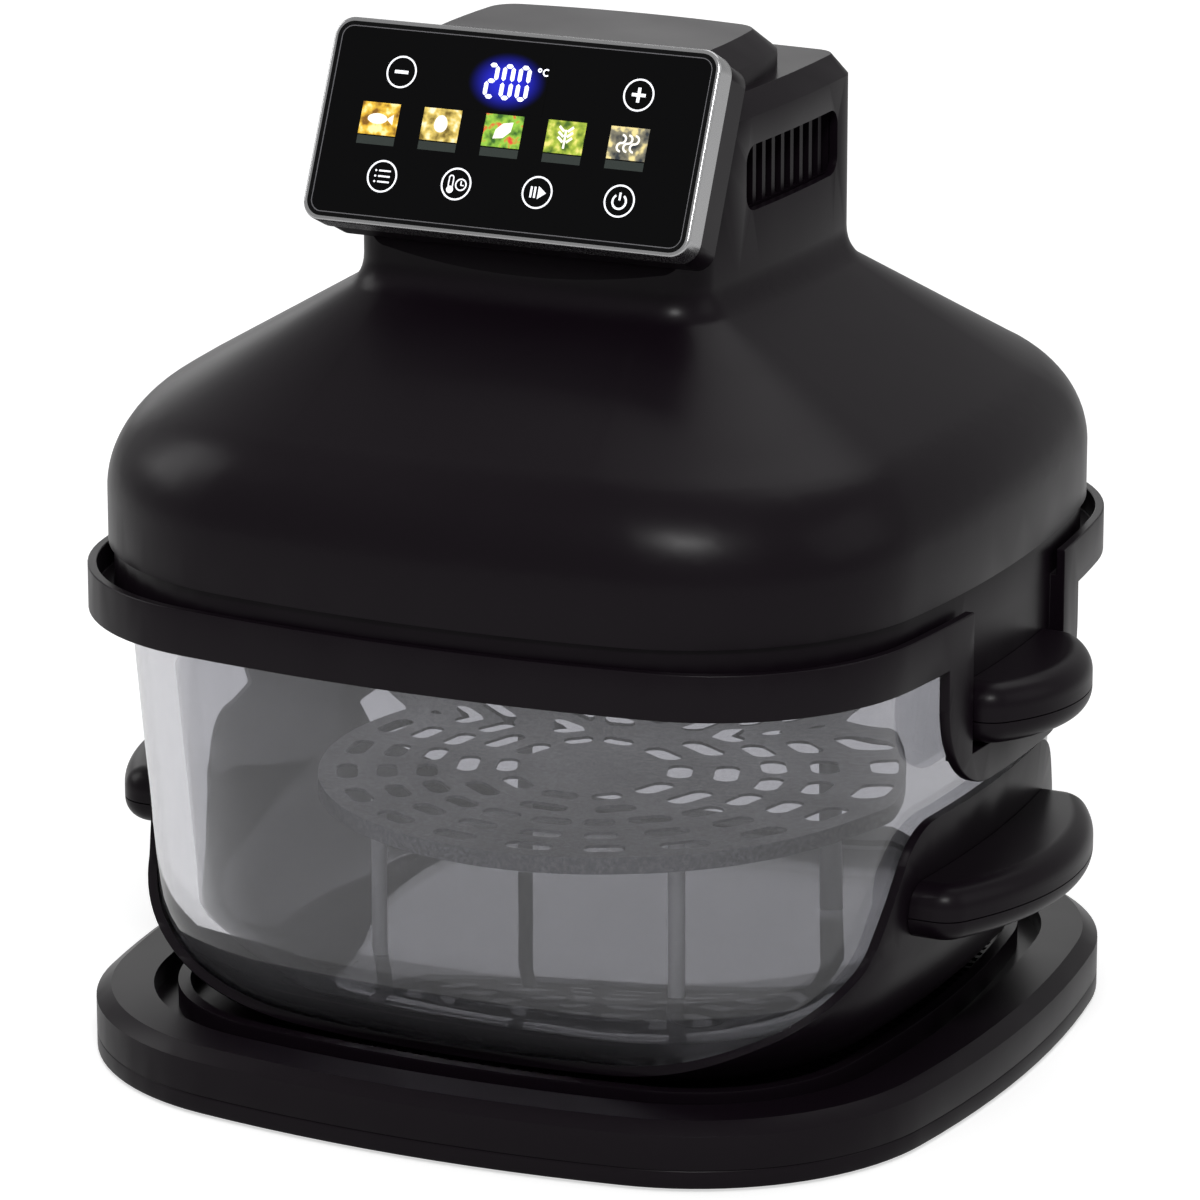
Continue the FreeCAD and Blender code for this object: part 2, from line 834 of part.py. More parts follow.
def vent_window(grow, depth_from, depth_to):
    """A rounded window through the +X wall of the tower, square to the tapered wall."""
    length, height = size("vent_length") + 2 * grow, size("vent_height") + 2 * grow
    box = slab(depth_from, depth_to, -length / 2, length / 2, -height / 2, height / 2)
    along = [e for e in box.Edges if e.BoundBox.XLength > (depth_to - depth_from) / 2]
    box = box.makeFillet(size("vent_corner") + grow, along)
    return vent_place(box)


def vent_place(shape):
    """Moves a shape made at the origin, facing +X, to the side vent."""
    angle = -math.degrees(math.atan(size("tower_taper")))
    x = size("tower_half_width") + size("tower_taper") * vent_offset()
    place = V(x, size("vent_centre_y"), above_rim("vent_centre_z"))
    return shape.rotated(V(0, 0, 0), UP, angle).translated(place)


def vent_offset():
    return size("vent_centre_y") - (size("tower_back") - size("tower_front")) / 2


def make_vent_grille():
    """A framed set of upright bars that closes the side window from behind."""
    wall = size("housing_wall")
    deep = size("vent_depth")
    frame = size("vent_frame")
    length, height = size("vent_length"), size("vent_height")
    gap = size("vent_seat")
    wide, tall = length / 2 + frame, height / 2 + frame
    outer = slab(-deep, -wall - gap, -wide, wide, -tall, tall)
    inner = slab(-2 * deep, 0, -length / 2, length / 2, -height / 2, height / 2)
    grille = outer.cut(inner)
    bars = int(size("vent_bars"))
    bar = size("vent_bar_width")
    for k in range(bars):
        y = -length / 2 + (k + 1) * length / (bars + 1)
        grille = grille.fuse(slab(-deep, -deep / 2, y - bar / 2, y + bar / 2, -height / 2, height / 2))
    return vent_place(grille)


def make_housing():
    wall = size("housing_wall")
    shell = housing_form(0).cut(housing_form(wall))
    opening = prism(dome_square(wall, above_rim("dome_bottom") - size("cut_through")), wall)
    shell = shell.cut(opening)
    window = vent_window(0, -wall * 4, wall * 4)
    shell = shell.cut(window).cut(mirrored_x(window))
    back, radius = size("tower_back"), size("gland_radius")
    shell = shell.cut(gland_rod(radius, back - 2 * wall, back + 2 * wall))
    shell = shell.cut(harness_window(-size("bezel_depth") - size("harness_reach"), -size("bezel_depth")))
    piece("upper_housing", shell)
    grille = make_vent_grille()
    piece("vent_grille_right", grille)
    piece("vent_grille_left", mirrored_x(grille))
    lip_low = back + size("seat_gap")
    lip_high = lip_low + size("gland_lip_height")
    tail = back - wall - size("gland_tail")
    gland = gland_rod(radius - size("seat_gap"), tail, lip_high)
    gland = gland.fuse(gland_rod(radius + size("gland_lip"), lip_low, lip_high))
    piece("cord_gland", gland.cut(gland_rod(size("cord_radius"), tail, lip_high)))


def gland_rod(radius, y0, y1):
    """A rod along Y through the back of the tower, on the cord's line."""
    return Part.makeCylinder(radius, y1 - y0, V(0, y0, above_rim("gland_z")), V(0, 1, 0))


def harness_window(z0, z1):
    """The way of the panel's leads into the tower, square to the panel."""
    half, tall = size("harness_width") / 2, size("harness_height") / 2
    return panel_frame(slab(-half, half, -tall, tall, z0, z1))


# Control panel, built facing +Z and turned into place


def panel_placement():
    turn = FreeCAD.Rotation(V(1, 0, 0), 90 - size("panel_tilt"))
    return FreeCAD.Placement(V(0, size("panel_y"), above_rim("panel_z")), turn)


def panel_frame(shape):
    return shape.transformed(panel_placement().toMatrix(), True)


def origin_plane(body, role):
    return next(f for f in body.Origin.OriginFeatures if f.Role == role)


def rectangle(body, name, width, height, level="0 mm"):
    """A centred rectangle on the body's XY plane, with its sides tied to the sheet."""
    sketch = body.newObject("Sketcher::SketchObject", name)
    sketch.AttachmentSupport = [(origin_plane(body, "XY_Plane"), "")]
    sketch.MapMode = "FlatFace"
    draft_wide, draft_tall = size("panel_width"), size("panel_height")
    around = ((-1, -1), (1, -1), (1, 1), (-1, 1))
    corners = [V(sx * draft_wide / 2, sy * draft_tall / 2, 0) for sx, sy in around]
    for k in range(4):
        sketch.addGeometry(Part.LineSegment(corners[k], corners[(k + 1) % 4]), False)
    for k in range(4):
        sketch.addConstraint(Sketcher.Constraint("Coincident", k, 2, (k + 1) % 4, 1))
        sketch.addConstraint(Sketcher.Constraint("Horizontal" if k % 2 == 0 else "Vertical", k))
    sketch.addConstraint(Sketcher.Constraint("Symmetric", 0, 1, 2, 1, -1, 1))
    wide = sketch.addConstraint(Sketcher.Constraint("DistanceX", 0, 1, 0, 2, draft_wide))
    tall = sketch.addConstraint(Sketcher.Constraint("DistanceY", 1, 1, 1, 2, draft_tall))
    sketch.setExpression(f"Constraints[{wide}]", width)
    sketch.setExpression(f"Constraints[{tall}]", height)
    sketch.setExpression("AttachmentOffset.Base.z", level)
    return sketch


def pad(body, sketch, length, reverse=False):
    feature = body.newObject("PartDesign::Pad", sketch.Name + "_pad")
    feature.Profile = sketch
    feature.Reversed = reverse
    feature.setExpression("Length", length)
    doc.recompute()
    return feature


def pocket(body, sketch, length):
    feature = body.newObject("PartDesign::Pocket", sketch.Name + "_pocket")
    feature.Profile = sketch
    feature.setExpression("Length", length)
    doc.recompute()
    return feature


def round_uprights(body, feature, radius):
    """Rounds the four edges that run along the body's own Z."""
    edges = []
    for k, edge in enumerate(feature.Shape.Edges, start=1):
        box = edge.BoundBox
        if box.ZLength > 0.5 and box.XLength + box.YLength < 0.01:
            edges.append(f"Edge{k}")
    fillet = body.newObject("PartDesign::Fillet", feature.Name + "_round")
    fillet.Base = (feature, edges)
    fillet.setExpression("Radius", radius)
    doc.recompute()
    return fillet


def panel_body(label):
    body = doc.addObject("PartDesign::Body", label)
    body.Placement = panel_placement()
    return export_as(label, body)


def make_panel():
    # The rim of the bezel is the panel's reference plane, and the glass sits just inside it
    bezel = panel_body("control_bezel")
    outer = pad(bezel, rectangle(bezel, "bezel_outer", "sizes.panel_width", "sizes.panel_height"),
                "sizes.bezel_depth", True)
    round_uprights(bezel, outer, "sizes.panel_corner")
    opening = rectangle(bezel, "bezel_opening", "sizes.panel_width - 2 * sizes.bezel_rim",
                        "sizes.panel_height - 2 * sizes.bezel_rim")
    pocket(bezel, opening, "sizes.bezel_depth + sizes.cut_through")
    inner_edges = []
    cut = bezel.Tip
    for k, edge in enumerate(cut.Shape.Edges, start=1):
        box = edge.BoundBox
        upright = box.ZLength > 0.5 and box.XLength + box.YLength < 0.01
        corner = abs(abs(box.XMax) - (size("panel_width") / 2 - size("bezel_rim"))) < 0.01
        if upright and corner:
            inner_edges.append(f"Edge{k}")
    inner_round = bezel.newObject("PartDesign::Fillet", "bezel_opening_round")
    inner_round.Base = (cut, inner_edges)
    inner_round.setExpression("Radius", "sizes.panel_corner - sizes.bezel_rim")
    doc.recompute()

    glass = panel_body("control_glass")
    sheet = rectangle(glass, "touch_sheet", "sizes.panel_width - 2 * sizes.bezel_rim - 2 * sizes.seat_gap",
                      "sizes.panel_height - 2 * sizes.bezel_rim - 2 * sizes.seat_gap", "-sizes.seat_gap")
    blank = pad(glass, sheet, "sizes.glass_sheet", True)
    round_uprights(glass, blank, "sizes.panel_corner - sizes.bezel_rim")

    board = panel_body("display_board")
    blank = rectangle(board, "board_blank", "sizes.panel_width - 2 * sizes.bezel_rim - 6 * sizes.loose_gap",
                      "sizes.panel_height - 2 * sizes.bezel_rim - 6 * sizes.loose_gap",
                      "-sizes.glass_sheet - 2 * sizes.seat_gap")
    pad(board, blank, "sizes.board_thickness", True)

    inset, wall = size("pod_inset"), size("pod_wall")
    width, height = size("panel_width") / 2 - inset, size("panel_height") / 2 - inset
    near = -size("bezel_depth") - size("seat_gap")
    rear = pod_back()
    block = slab(-width, width, -height, height, rear, near)
    along = [e for e in block.Edges if e.BoundBox.ZLength > 1]
    block = block.makeFillet(size("panel_corner") - inset, along)
    back = [e for e in block.Edges if e.BoundBox.ZLength < 0.01 and e.BoundBox.ZMax < rear + 0.01]
    block = block.makeChamfer(size("pod_wall"), back)
    hollow = slab(-width + wall, width - wall, -height + wall, height - wall, rear + wall, near)
    pod = panel_frame(block.cut(hollow)).cut(harness_window(rear - wall, near))
    piece("control_pod", pod)


# Heater, fan and motor


def make_heater():
    sheet = size("reflector_sheet")
    flange = above_rim("reflector_flange")
    dish, top = dish_radius(), above_rim("dish_top")
    probe_x = -element_outer() - size("probe_offset")
    hole = size("shaft_radius") + 2 * size("loose_gap")
    inset = size("dome_recess") + size("ring_inner_wall") + size("seat_gap")
    plate = prism(dome_square(inset, flange), sheet)
    hat = rod(dish + sheet, 0, 0, flange, top + sheet).cut(rod(dish, 0, 0, flange, top))
    reflector = plate.cut(rod(dish, 0, 0, flange, flange + sheet)).fuse(hat)
    reflector = reflector.cut(rod(hole, 0, 0, top, top + sheet))
    reflector = reflector.cut(rod(size("probe_radius") + size("seat_gap"), probe_x, 0, top, top + sheet))
    lead = size("element_tube_radius") + size("seat_gap")
    for x, y in element_lead_places():
        reflector = reflector.cut(rod(lead, x, y, top, top + sheet))
    piece("heater_reflector", reflector)

    # The guard is a flat sheet of rings on six spokes, lapped under the reflector's flange
    guard_low = flange - size("guard_sheet")
    guard = rod(dish + size("guard_lap"), 0, 0, guard_low, flange)
    rings = int(size("guard_rings"))
    step = (dish - size("guard_margin")) / (rings + 0.5)
    arm = slab(0, dish, -size("guard_spoke") / 2, size("guard_spoke") / 2, guard_low, flange)
    for k in range(rings):
        outer = (k + 1.35) * step
        inner = outer - step * 0.72
        ring = rod(outer, 0, 0, guard_low, flange).cut(rod(inner, 0, 0, guard_low, flange))
        for spoke in range(6):
            ring = ring.cut(arm.rotated(V(0, 0, 0), UP, 60 * spoke))
        guard = guard.cut(ring)
    piece("element_guard", guard)
    piece("heating_element", heating_tube())
    probe = rod(size("probe_radius"), probe_x, 0, above_rim("element_z"), top + sheet + size("probe_tail"))
    collar_top = top + sheet + size("probe_collar_height")
    collar = rod(size("probe_collar_radius"), probe_x, 0, top + sheet, collar_top)
    piece("temperature_sensor", probe.fuse(collar))


def element_outer():
    return dish_radius() * size("element_outer_share")


def element_inner():
    return dish_radius() * size("element_inner_share")


def element_start(radius):
    """Where a ring of the element begins, which way it runs there, and where its lead stands."""
    angle = -math.asin(size("element_end_gap") / radius)
    start = V(radius * math.cos(angle), radius * math.sin(angle), above_rim("element_z"))
    ahead = V(math.sin(angle), -math.cos(angle), 0)
    return angle, start, ahead, start - ahead * size("element_bend")


def element_lead_places():
    places = [element_start(radius)[3] for radius in (element_outer(), element_inner())]
    return [(place.x, place.y) for place in places]


def heating_tube():
    """Two rings of sheathed element joined by a U-turn, with both leads up through the reflector."""
    z = above_rim("element_z")
    outer, inner = element_outer(), element_inner()
    top = above_rim("dish_top") + size("reflector_sheet") + size("element_bend")
    bend = size("element_bend")
    corner = 1 - math.sqrt(0.5)

    def lead(radius):
        _, start, ahead, place = element_start(radius)
        low = V(place.x, place.y, z + bend)
        middle = V(place.x, place.y, z + bend * corner) + ahead * (bend * corner)
        upright = Part.LineSegment(V(place.x, place.y, top), low).toShape()
        return upright, Part.Arc(low, middle, start).toShape()

    def on(radius, angle):
        return V(radius * math.cos(angle), radius * math.sin(angle), z)

    end = -2 * math.pi + math.asin(size("element_end_gap") / outer)
    outer_angle, outer_start, _, lead_place = element_start(outer)
    inner_angle, inner_start, _, _ = element_start(inner)
    outer_ring = Part.Arc(outer_start, on(outer, (outer_angle + end) / 2), on(outer, end)).toShape()
    inner_ring = Part.Arc(on(inner, end), on(inner, (inner_angle + end) / 2), inner_start).toShape()
    tip = on((outer + inner) / 2, end) + V(math.sin(end), -math.cos(end), 0) * ((outer - inner) / 2)
    turn_back = Part.Arc(on(outer, end), tip, on(inner, end)).toShape()
    outer_line, outer_bend = lead(outer)
    inner_line, inner_bend = lead(inner)
    path = Part.Wire([outer_line, outer_bend, outer_ring, turn_back, inner_ring, inner_bend, inner_line])
    ring = Part.makeCircle(size("element_tube_radius"), V(lead_place.x, lead_place.y, top), UP)
    return path.makePipeShell([Part.Wire(ring)], True, False)


def fan_wheel(label, radius, bottom, height):
    """A hub, a back plate and a ring of upright blades, on the shaft's axis."""
    body = doc.addObject("PartDesign::Body", label)
    export_as(label, body)
    bore = "sizes.shaft_radius + sizes.run_gap"
    sketch = body.newObject("Sketcher::SketchObject", label + "_disc")
    sketch.AttachmentSupport = [(origin_plane(body, "XY_Plane"), "")]
    sketch.MapMode = "FlatFace"
    for circle_radius, expression in ((size("fan_hub"), radius), (size("shaft_radius"), bore)):
        index = sketch.addGeometry(Part.Circle(V(0, 0, 0), UP, circle_radius), False)
        sketch.addConstraint(Sketcher.Constraint("Coincident", index, 3, -1, 1))
        held = sketch.addConstraint(Sketcher.Constraint("Radius", index, circle_radius))
        sketch.setExpression(f"Constraints[{held}]", expression)
    sketch.setExpression("AttachmentOffset.Base.z", bottom)
    pad(body, sketch, "sizes.reflector_sheet")
    hub_sketch = body.newObject("Sketcher::SketchObject", label + "_hub")
    hub_sketch.AttachmentSupport = [(origin_plane(body, "XY_Plane"), "")]
    hub_sketch.MapMode = "FlatFace"
    for circle_radius, expression in ((size("fan_hub"), "sizes.fan_hub"), (size("shaft_radius"), bore)):
        index = hub_sketch.addGeometry(Part.Circle(V(0, 0, 0), UP, circle_radius), False)
        hub_sketch.addConstraint(Sketcher.Constraint("Coincident", index, 3, -1, 1))
        held = hub_sketch.addConstraint(Sketcher.Constraint("Radius", index, circle_radius))
        hub_sketch.setExpression(f"Constraints[{held}]", expression)
    hub_sketch.setExpression("AttachmentOffset.Base.z", bottom)
    pad(body, hub_sketch, height)
    blade = rectangle(body, label + "_blade", f"({radius}) * 0.55", "sizes.fan_blade_sheet", bottom)
    blade.setExpression("AttachmentOffset.Base.x", f"({radius}) * 0.7")
    blade.AttachmentOffset = FreeCAD.Placement(blade.AttachmentOffset.Base, FreeCAD.Rotation(UP, 28))
    upright = pad(body, blade, height)
    around = body.newObject("PartDesign::PolarPattern", label + "_blades")
    around.Originals = [upright]
    around.Axis = (origin_axis(body, "Z_Axis"), [""])
    around.setExpression("Occurrences", "sizes.fan_blades")
    body.Tip = around
    doc.recompute()
    return body


def origin_axis(body, role):
    return next(f for f in body.Origin.OriginFeatures if f.Role == role)


def make_drive():
    gap, shaft, through = size("run_gap"), size("shaft_radius"), size("cut_through")
    fan_low = above_rim("fan_bottom")
    motor_low, motor_high = above_rim("motor_bottom"), above_rim("motor_bottom") + size("motor_height")
    shaft_rod = doc.addObject("Part::Cylinder", "motor_shaft")
    run = "sizes.cooling_fan_bottom + sizes.cooling_fan_height - sizes.fan_bottom"
    bind(shaft_rod, Radius="sizes.shaft_radius", Height=f"{run} + 2 * sizes.shaft_tail")
    shaft_rod.setExpression("Placement.Base.z", "sizes.bowl_top + sizes.fan_bottom - sizes.shaft_tail")
    export_as("motor_shaft", shaft_rod)
    fan_wheel("convection_fan", "sizes.bowl_half_top * sizes.dish_share * sizes.fan_share",
              "sizes.bowl_top + sizes.fan_bottom", "sizes.fan_height")
    fan_wheel("cooling_fan", "sizes.cooling_fan_radius",
              "sizes.bowl_top + sizes.cooling_fan_bottom", "sizes.cooling_fan_height")
    nut = rod(shaft + size("nut_wall"), 0, 0, fan_low - size("shaft_tail"), fan_low - gap)
    piece("fan_nut", nut.cut(rod(shaft + gap, 0, 0, fan_low - size("shaft_tail"), fan_low)))

    radius = size("motor_radius")
    stator = rod(radius, 0, 0, motor_low, motor_high)
    stator = stator.cut(rod(shaft + size("rest_gap"), 0, 0, motor_low, motor_high))
    half, end = size("motor_groove_width") / 2, size("motor_end")
    deep = radius - size("motor_groove_depth")
    groove = slab(deep, radius + through, -half, half, motor_low + end, motor_high - end)
    grooves = int(size("motor_grooves"))
    for k in range(grooves):
        stator = stator.cut(groove.rotated(V(0, 0, 0), UP, 360 / grooves * k))
    piece("motor_stator", stator)

    sheet, leg = size("bracket_sheet"), size("bracket_leg")
    reach = size("bracket_radius")
    dish_top = above_rim("dish_top") + size("reflector_sheet")
    bracket = rod(reach, 0, 0, motor_low - sheet, motor_low)
    bracket = bracket.cut(rod(shaft * 3, 0, 0, motor_low - sheet, motor_low))
    for k in range(3):
        angle = math.radians(120 * k + 90)
        x, y = (reach - 2 * leg) * math.cos(angle), (reach - 2 * leg) * math.sin(angle)
        bracket = bracket.fuse(rod(leg, x, y, dish_top, motor_low - sheet))
    piece("motor_bracket", bracket)


def make_electrics():
    wall = size("housing_wall")
    width, height = size("power_board_width"), size("power_board_height")
    back = size("tower_back") - wall
    board_y = back - size("power_board_setback")
    low = above_rim("gland_z") - size("power_board_drop")
    board = slab(-width / 2, width / 2, board_y - size("board_thickness"), board_y, low, low + height)
    clear = size("gland_radius") + size("gland_lip") + size("gland_lip_height")
    board = board.cut(gland_rod(clear, board_y - size("board_thickness"), board_y))
    piece("power_board", board)
    posts = []
    inner = housing_form(wall + size("seat_gap"))
    inset = size("post_inset")
    for sx in (-1, 1):
        for z in (low + inset, low + height - inset):
            foot = V(sx * (width / 2 - inset), board_y, z)
            post = Part.makeCylinder(size("post_radius"), back - board_y + wall, foot, V(0, 1, 0))
            posts.append(post.common(inner).Solids[0])
    piece("board_posts", Part.makeCompound(posts))

    x, y = size("sensor_x"), dome_half() - size("sensor_inset")
    half, deep = size("sensor_width") / 2, size("sensor_depth") / 2
    flange_top = above_rim("reflector_flange") + size("reflector_sheet")
    sensor_top = flange_top + size("sensor_height")
    piece("bowl_sensor", slab(x - half, x + half, y - deep, y + deep, flange_top, sensor_top))


make_stand()
make_bowl()
make_handles()
make_crisper()
make_ring()
make_housing()
make_panel()
make_heater()
make_drive()
make_electrics()
doc.recompute()

os.makedirs("parts", exist_ok=True)
faults = [o.Label for o in doc.Objects if {"Invalid", "Error"} & set(o.State)]
for thing in exported:
    if thing.Shape.isNull() or not thing.Shape.isValid() or not thing.Shape.Solids:
        faults.append(thing.Label)
if faults:
    raise RuntimeError(f"these objects failed: {faults}")
for thing in exported:
    thing.Shape.exportStep(f"parts/{thing.Label}.step")
    box = thing.Shape.BoundBox
    print(f"{thing.Label:28s} solids {len(thing.Shape.Solids):2d} volume {thing.Shape.Volume:10.0f}"
          f" z {box.ZMin:6.1f} to {box.ZMax:6.1f}")
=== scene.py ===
"""Looks of a glass air fryer: finishes for its solids, the lit touch panel, and a white studio.

Metres, +Z up, front at -Y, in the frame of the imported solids.
"""

import json
import math

import bmesh
import bpy
from bpy.props import FloatProperty, FloatVectorProperty, IntProperty, PointerProperty, StringProperty
from mathutils import Matrix, Vector


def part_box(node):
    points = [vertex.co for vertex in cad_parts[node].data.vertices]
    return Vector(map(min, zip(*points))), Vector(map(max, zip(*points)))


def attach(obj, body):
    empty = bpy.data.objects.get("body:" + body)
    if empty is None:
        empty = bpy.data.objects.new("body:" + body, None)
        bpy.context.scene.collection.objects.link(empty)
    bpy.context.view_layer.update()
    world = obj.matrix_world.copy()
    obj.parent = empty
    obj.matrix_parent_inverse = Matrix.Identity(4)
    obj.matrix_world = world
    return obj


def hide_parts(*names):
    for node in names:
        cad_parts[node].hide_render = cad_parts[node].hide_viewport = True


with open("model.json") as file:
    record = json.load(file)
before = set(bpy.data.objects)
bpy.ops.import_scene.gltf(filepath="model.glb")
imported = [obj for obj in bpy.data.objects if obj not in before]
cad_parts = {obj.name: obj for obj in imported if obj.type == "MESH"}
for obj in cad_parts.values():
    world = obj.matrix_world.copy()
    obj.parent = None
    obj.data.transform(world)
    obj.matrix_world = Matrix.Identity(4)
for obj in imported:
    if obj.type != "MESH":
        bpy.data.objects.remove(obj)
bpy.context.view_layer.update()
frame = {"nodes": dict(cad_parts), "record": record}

bl_info = {
    "name": "Glass Air Fryer Looks",
    "version": (1, 0, 0),
    "blender": (4, 5, 0),
    "location": "View3D > Sidebar > Air Fryer",
    "description": "Finishes, touch panel graphics and studio for a glass air fryer",
    "category": "Object",
}

MM = 0.001
NODES = frame["nodes"]

# Settings


def tone(name, about, value):
    return StringProperty(name=name, description=about, default=value)


def length(name, about, value):
    return FloatProperty(name=name, description=about, default=value, unit="LENGTH")


def angle(name, about, value):
    return FloatProperty(name=name, description=about, default=value, subtype="ANGLE")


class FinishSettings(bpy.types.PropertyGroup):
    """Colours of the mouldings, metals and prints, as sRGB hex values."""

    housing_black: tone("Housing", "Moulded black plastic", "#120c12")
    panel_black: tone("Touch sheet", "Back-printed gloss sheet", "#040405")
    silver: tone("Bezel", "Satin silver plating", "#bcbcbd")
    silicone: tone("Silicone", "Feet, pads and gasket", "#151415")
    foot_grey: tone("Crisper feet", "Clear grey silicone", "#c8c8ca")
    coating: tone("Crisper coating", "Dark non-stick coating", "#55555a")
    steel: tone("Sheet steel", "Reflector, guard and drive parts", "#b3b2ae")
    sheath: tone("Heater sheath", "Oxidised element tube", "#5a504b")
    iron: tone("Motor iron", "Laminated motor body", "#77777a")
    board: tone("Circuit board", "Solder mask", "#1d5a33")
    glass_tint: tone("Bowl glass", "Heat-proof glass", "#cacace")
    icon_white: tone("Icons", "Lit icon outlines", "#f4f6fb")
    # Grey of the painted highlight along the touch sheet's bevelled edge
    edge_highlight_grey: tone("Sheet edge", "Ground edge of the touch sheet", "#77767a")
    digit_white: tone("Digits", "Lit temperature digits", "#eef0ff")
    digit_glow: tone("Digit glow", "Light spilt round the digits", "#2b2fd8")
    grain: length("Moulded grain", "Spacing of the mould's texture, coarse enough to show", 0.7 * MM)


class EdgeSettings(bpy.types.PropertyGroup):
    """How round the visible edges of the solids look."""

    moulded: length("Moulded edges", "Edge radius on mouldings", 0.8 * MM)
    trim: length("Bezel", "Edge radius on the bezel", 0.9 * MM)
    segments: IntProperty(name="Segments", description="Facets across an edge", default=3, min=1)


class BowlSettings(bpy.types.PropertyGroup):
    """Form of the glass bowl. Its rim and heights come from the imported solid."""

    draft: length("Draft", "How far the wall leans in", 6.5 * MM)
    bow: FloatProperty(name="Bow", description="Radius of a side by the half width", default=3.375)
    corner: FloatProperty(name="Corner", description="Its radius by the half width", default=0.556)
    edge: length("Lower edge", "Radius between wall and floor", 38.0 * MM)
    wall: length("Wall", "Thickness of the wall", 5.0 * MM)
    floor: length("Floor", "Thickness of the floor", 6.5 * MM)
    fill: length("Corner fill", "Rounder corners inside", 14.0 * MM)


class PanelSettings(bpy.types.PropertyGroup):
    """Where the touch panel lies and how large its marks are."""

    centre: FloatVectorProperty(
        name="Centre", description="Middle of the bezel's rim", default=(0.0, -68.5 * MM, 309.5 * MM),
        subtype="TRANSLATION",
    )
    tilt: angle("Tilt", "Lean back from upright", math.radians(25))
    sheet_drop: length("Sheet drop", "Rim to touch sheet", 0.2 * MM)
    print_height: length("Print height", "Thickness of a mark", 0.06 * MM)
    sheet_width: length("Sheet width", "Touch sheet", 127.8 * MM)
    sheet_height: length("Sheet height", "Touch sheet", 60.8 * MM)
    sheet_corner: length("Sheet corner", "Touch sheet", 4.3 * MM)
    digit_place: length("Digits", "Middle of the digits", -4.1 * MM)
    icon_radius: length("Icon radius", "Outline of a round icon", 4.9 * MM)
    stroke: length("Stroke", "Width of an icon's line", 0.55 * MM)
    digit_height: length("Digit height", "Temperature digits", 11.4 * MM)
    tile_width: length("Tile width", "Programme pictures", 13.0 * MM)
    tile_height: length("Tile height", "Programme pictures", 13.6 * MM)
    top_row: length("Top row", "Height of the digits above the middle", 16.5 * MM)
    tile_row: length("Tile row", "Height of the tiles above the middle", -0.6 * MM)
    low_row: length("Low row", "Height of the lower icons above the middle", -17.0 * MM)


class StageSettings(bpy.types.PropertyGroup):
    """Camera and lamps of the white studio."""

    azimuth: angle("Azimuth", "Camera, round to the right of the front", math.radians(25.1))
    elevation: angle("Elevation", "Camera above the horizon", math.radians(16.34))
    distance: length("Distance", "Camera to the aim point", 2.164)
    lens: FloatProperty(name="Lens", description="Focal length in millimetres", default=200.5)
    aim: FloatVectorProperty(
        name="Aim", description="Point in the middle of the picture", default=(0.0020, -0.0068, 0.1437),
        subtype="TRANSLATION",
    )
    floor_size: length("Floor", "Width of the floor", 12.0)


def settings(group):
    return getattr(bpy.context.scene, "air_fryer_" + group)


# Node and colour tools


def linear(hex_colour):
    """An sRGB hex value as linear RGBA."""
    channels = [int(hex_colour[k : k + 2], 16) / 255 for k in (1, 3, 5)]
    return tuple(c / 12.92 if c <= 0.04045 else ((c + 0.055) / 1.055) ** 2.4 for c in channels) + (1.0,)


def add(tree, kind, inputs=None, **options):
    """Adds a node. Inputs are values, or sockets to link from."""
    node = tree.nodes.new(kind)
    for name, value in options.items():
        setattr(node, name, value)
    for name, value in (inputs or {}).items():
        if isinstance(value, bpy.types.NodeSocket):
            tree.links.new(value, node.inputs[name])
        else:
            node.inputs[name].default_value = value
    return node


def new_material(name):
    """An empty material, with its tree and the surface socket to link to."""
    material = bpy.data.materials.new(name)
    material.use_nodes = True
    tree = material.node_tree
    tree.nodes.clear()
    output = add(tree, "ShaderNodeOutputMaterial")
    return material, tree, output.inputs["Surface"]


def grain_bump(tree, spacing, strength, height):
    """A fine noise bump with the given spacing in metres."""
    place = add(tree, "ShaderNodeTexCoord")
    noise = add(
        tree, "ShaderNodeTexNoise",
        {"Vector": place.outputs["Object"], "Scale": 1 / spacing, "Detail": 3.0, "Roughness": 0.55},
    )
    bump = add(
        tree, "ShaderNodeBump", {"Height": noise.outputs["Fac"], "Strength": strength, "Distance": height},
    )
    return place, noise, bump


def varied(tree, place, size, low, high):
    """A slow noise between two values, for uneven gloss."""
    noise = add(
        tree, "ShaderNodeTexNoise", {"Vector": place.outputs["Object"], "Scale": 1 / size, "Detail": 2.0},
    )
    return spread(tree, noise, 0.3, 0.7, low, high)


def spread(tree, noise, least, most, low, high):
    """A noise stretched to lie between two values."""
    stretched = add(
        tree, "ShaderNodeMapRange",
        {"Value": noise.outputs["Fac"], "From Min": least, "From Max": most, "To Min": low, "To Max": high},
    )
    return stretched.outputs["Result"]


def scaled(colour, factor):
    """A linear colour made lighter or darker."""
    return tuple(min(channel * factor, 1) for channel in colour[:3]) + (1,)


# Materials


GRAIN_DEPTH = 0.02 * MM


def moulded_abs(name, colour, rough_low, rough_high, grain_strength, shine):
    """ABS moulded in a spark-eroded tool: a fine even grain that turns highlights into soft sheens."""
    material, tree, surface = new_material(name)
    finish = settings("finish")
    place, noise, bump = grain_bump(tree, finish.grain, grain_strength, GRAIN_DEPTH)
    base = linear(colour)
    mix = add(
        tree, "ShaderNodeMix",
        {"Factor": noise.outputs["Fac"], "A": scaled(base, 0.86), "B": scaled(base, 1.14)},
        data_type="RGBA",
    )
    patch = 45 * MM
    shader = add(
        tree, "ShaderNodeBsdfPrincipled",
        {"Base Color": mix.outputs["Result"], "Roughness": varied(tree, place, patch, rough_low, rough_high),
         "IOR": 1.53, "Specular IOR Level": shine, "Normal": bump.outputs["Normal"]},
    )
    tree.links.new(shader.outputs["BSDF"], surface)
    return material


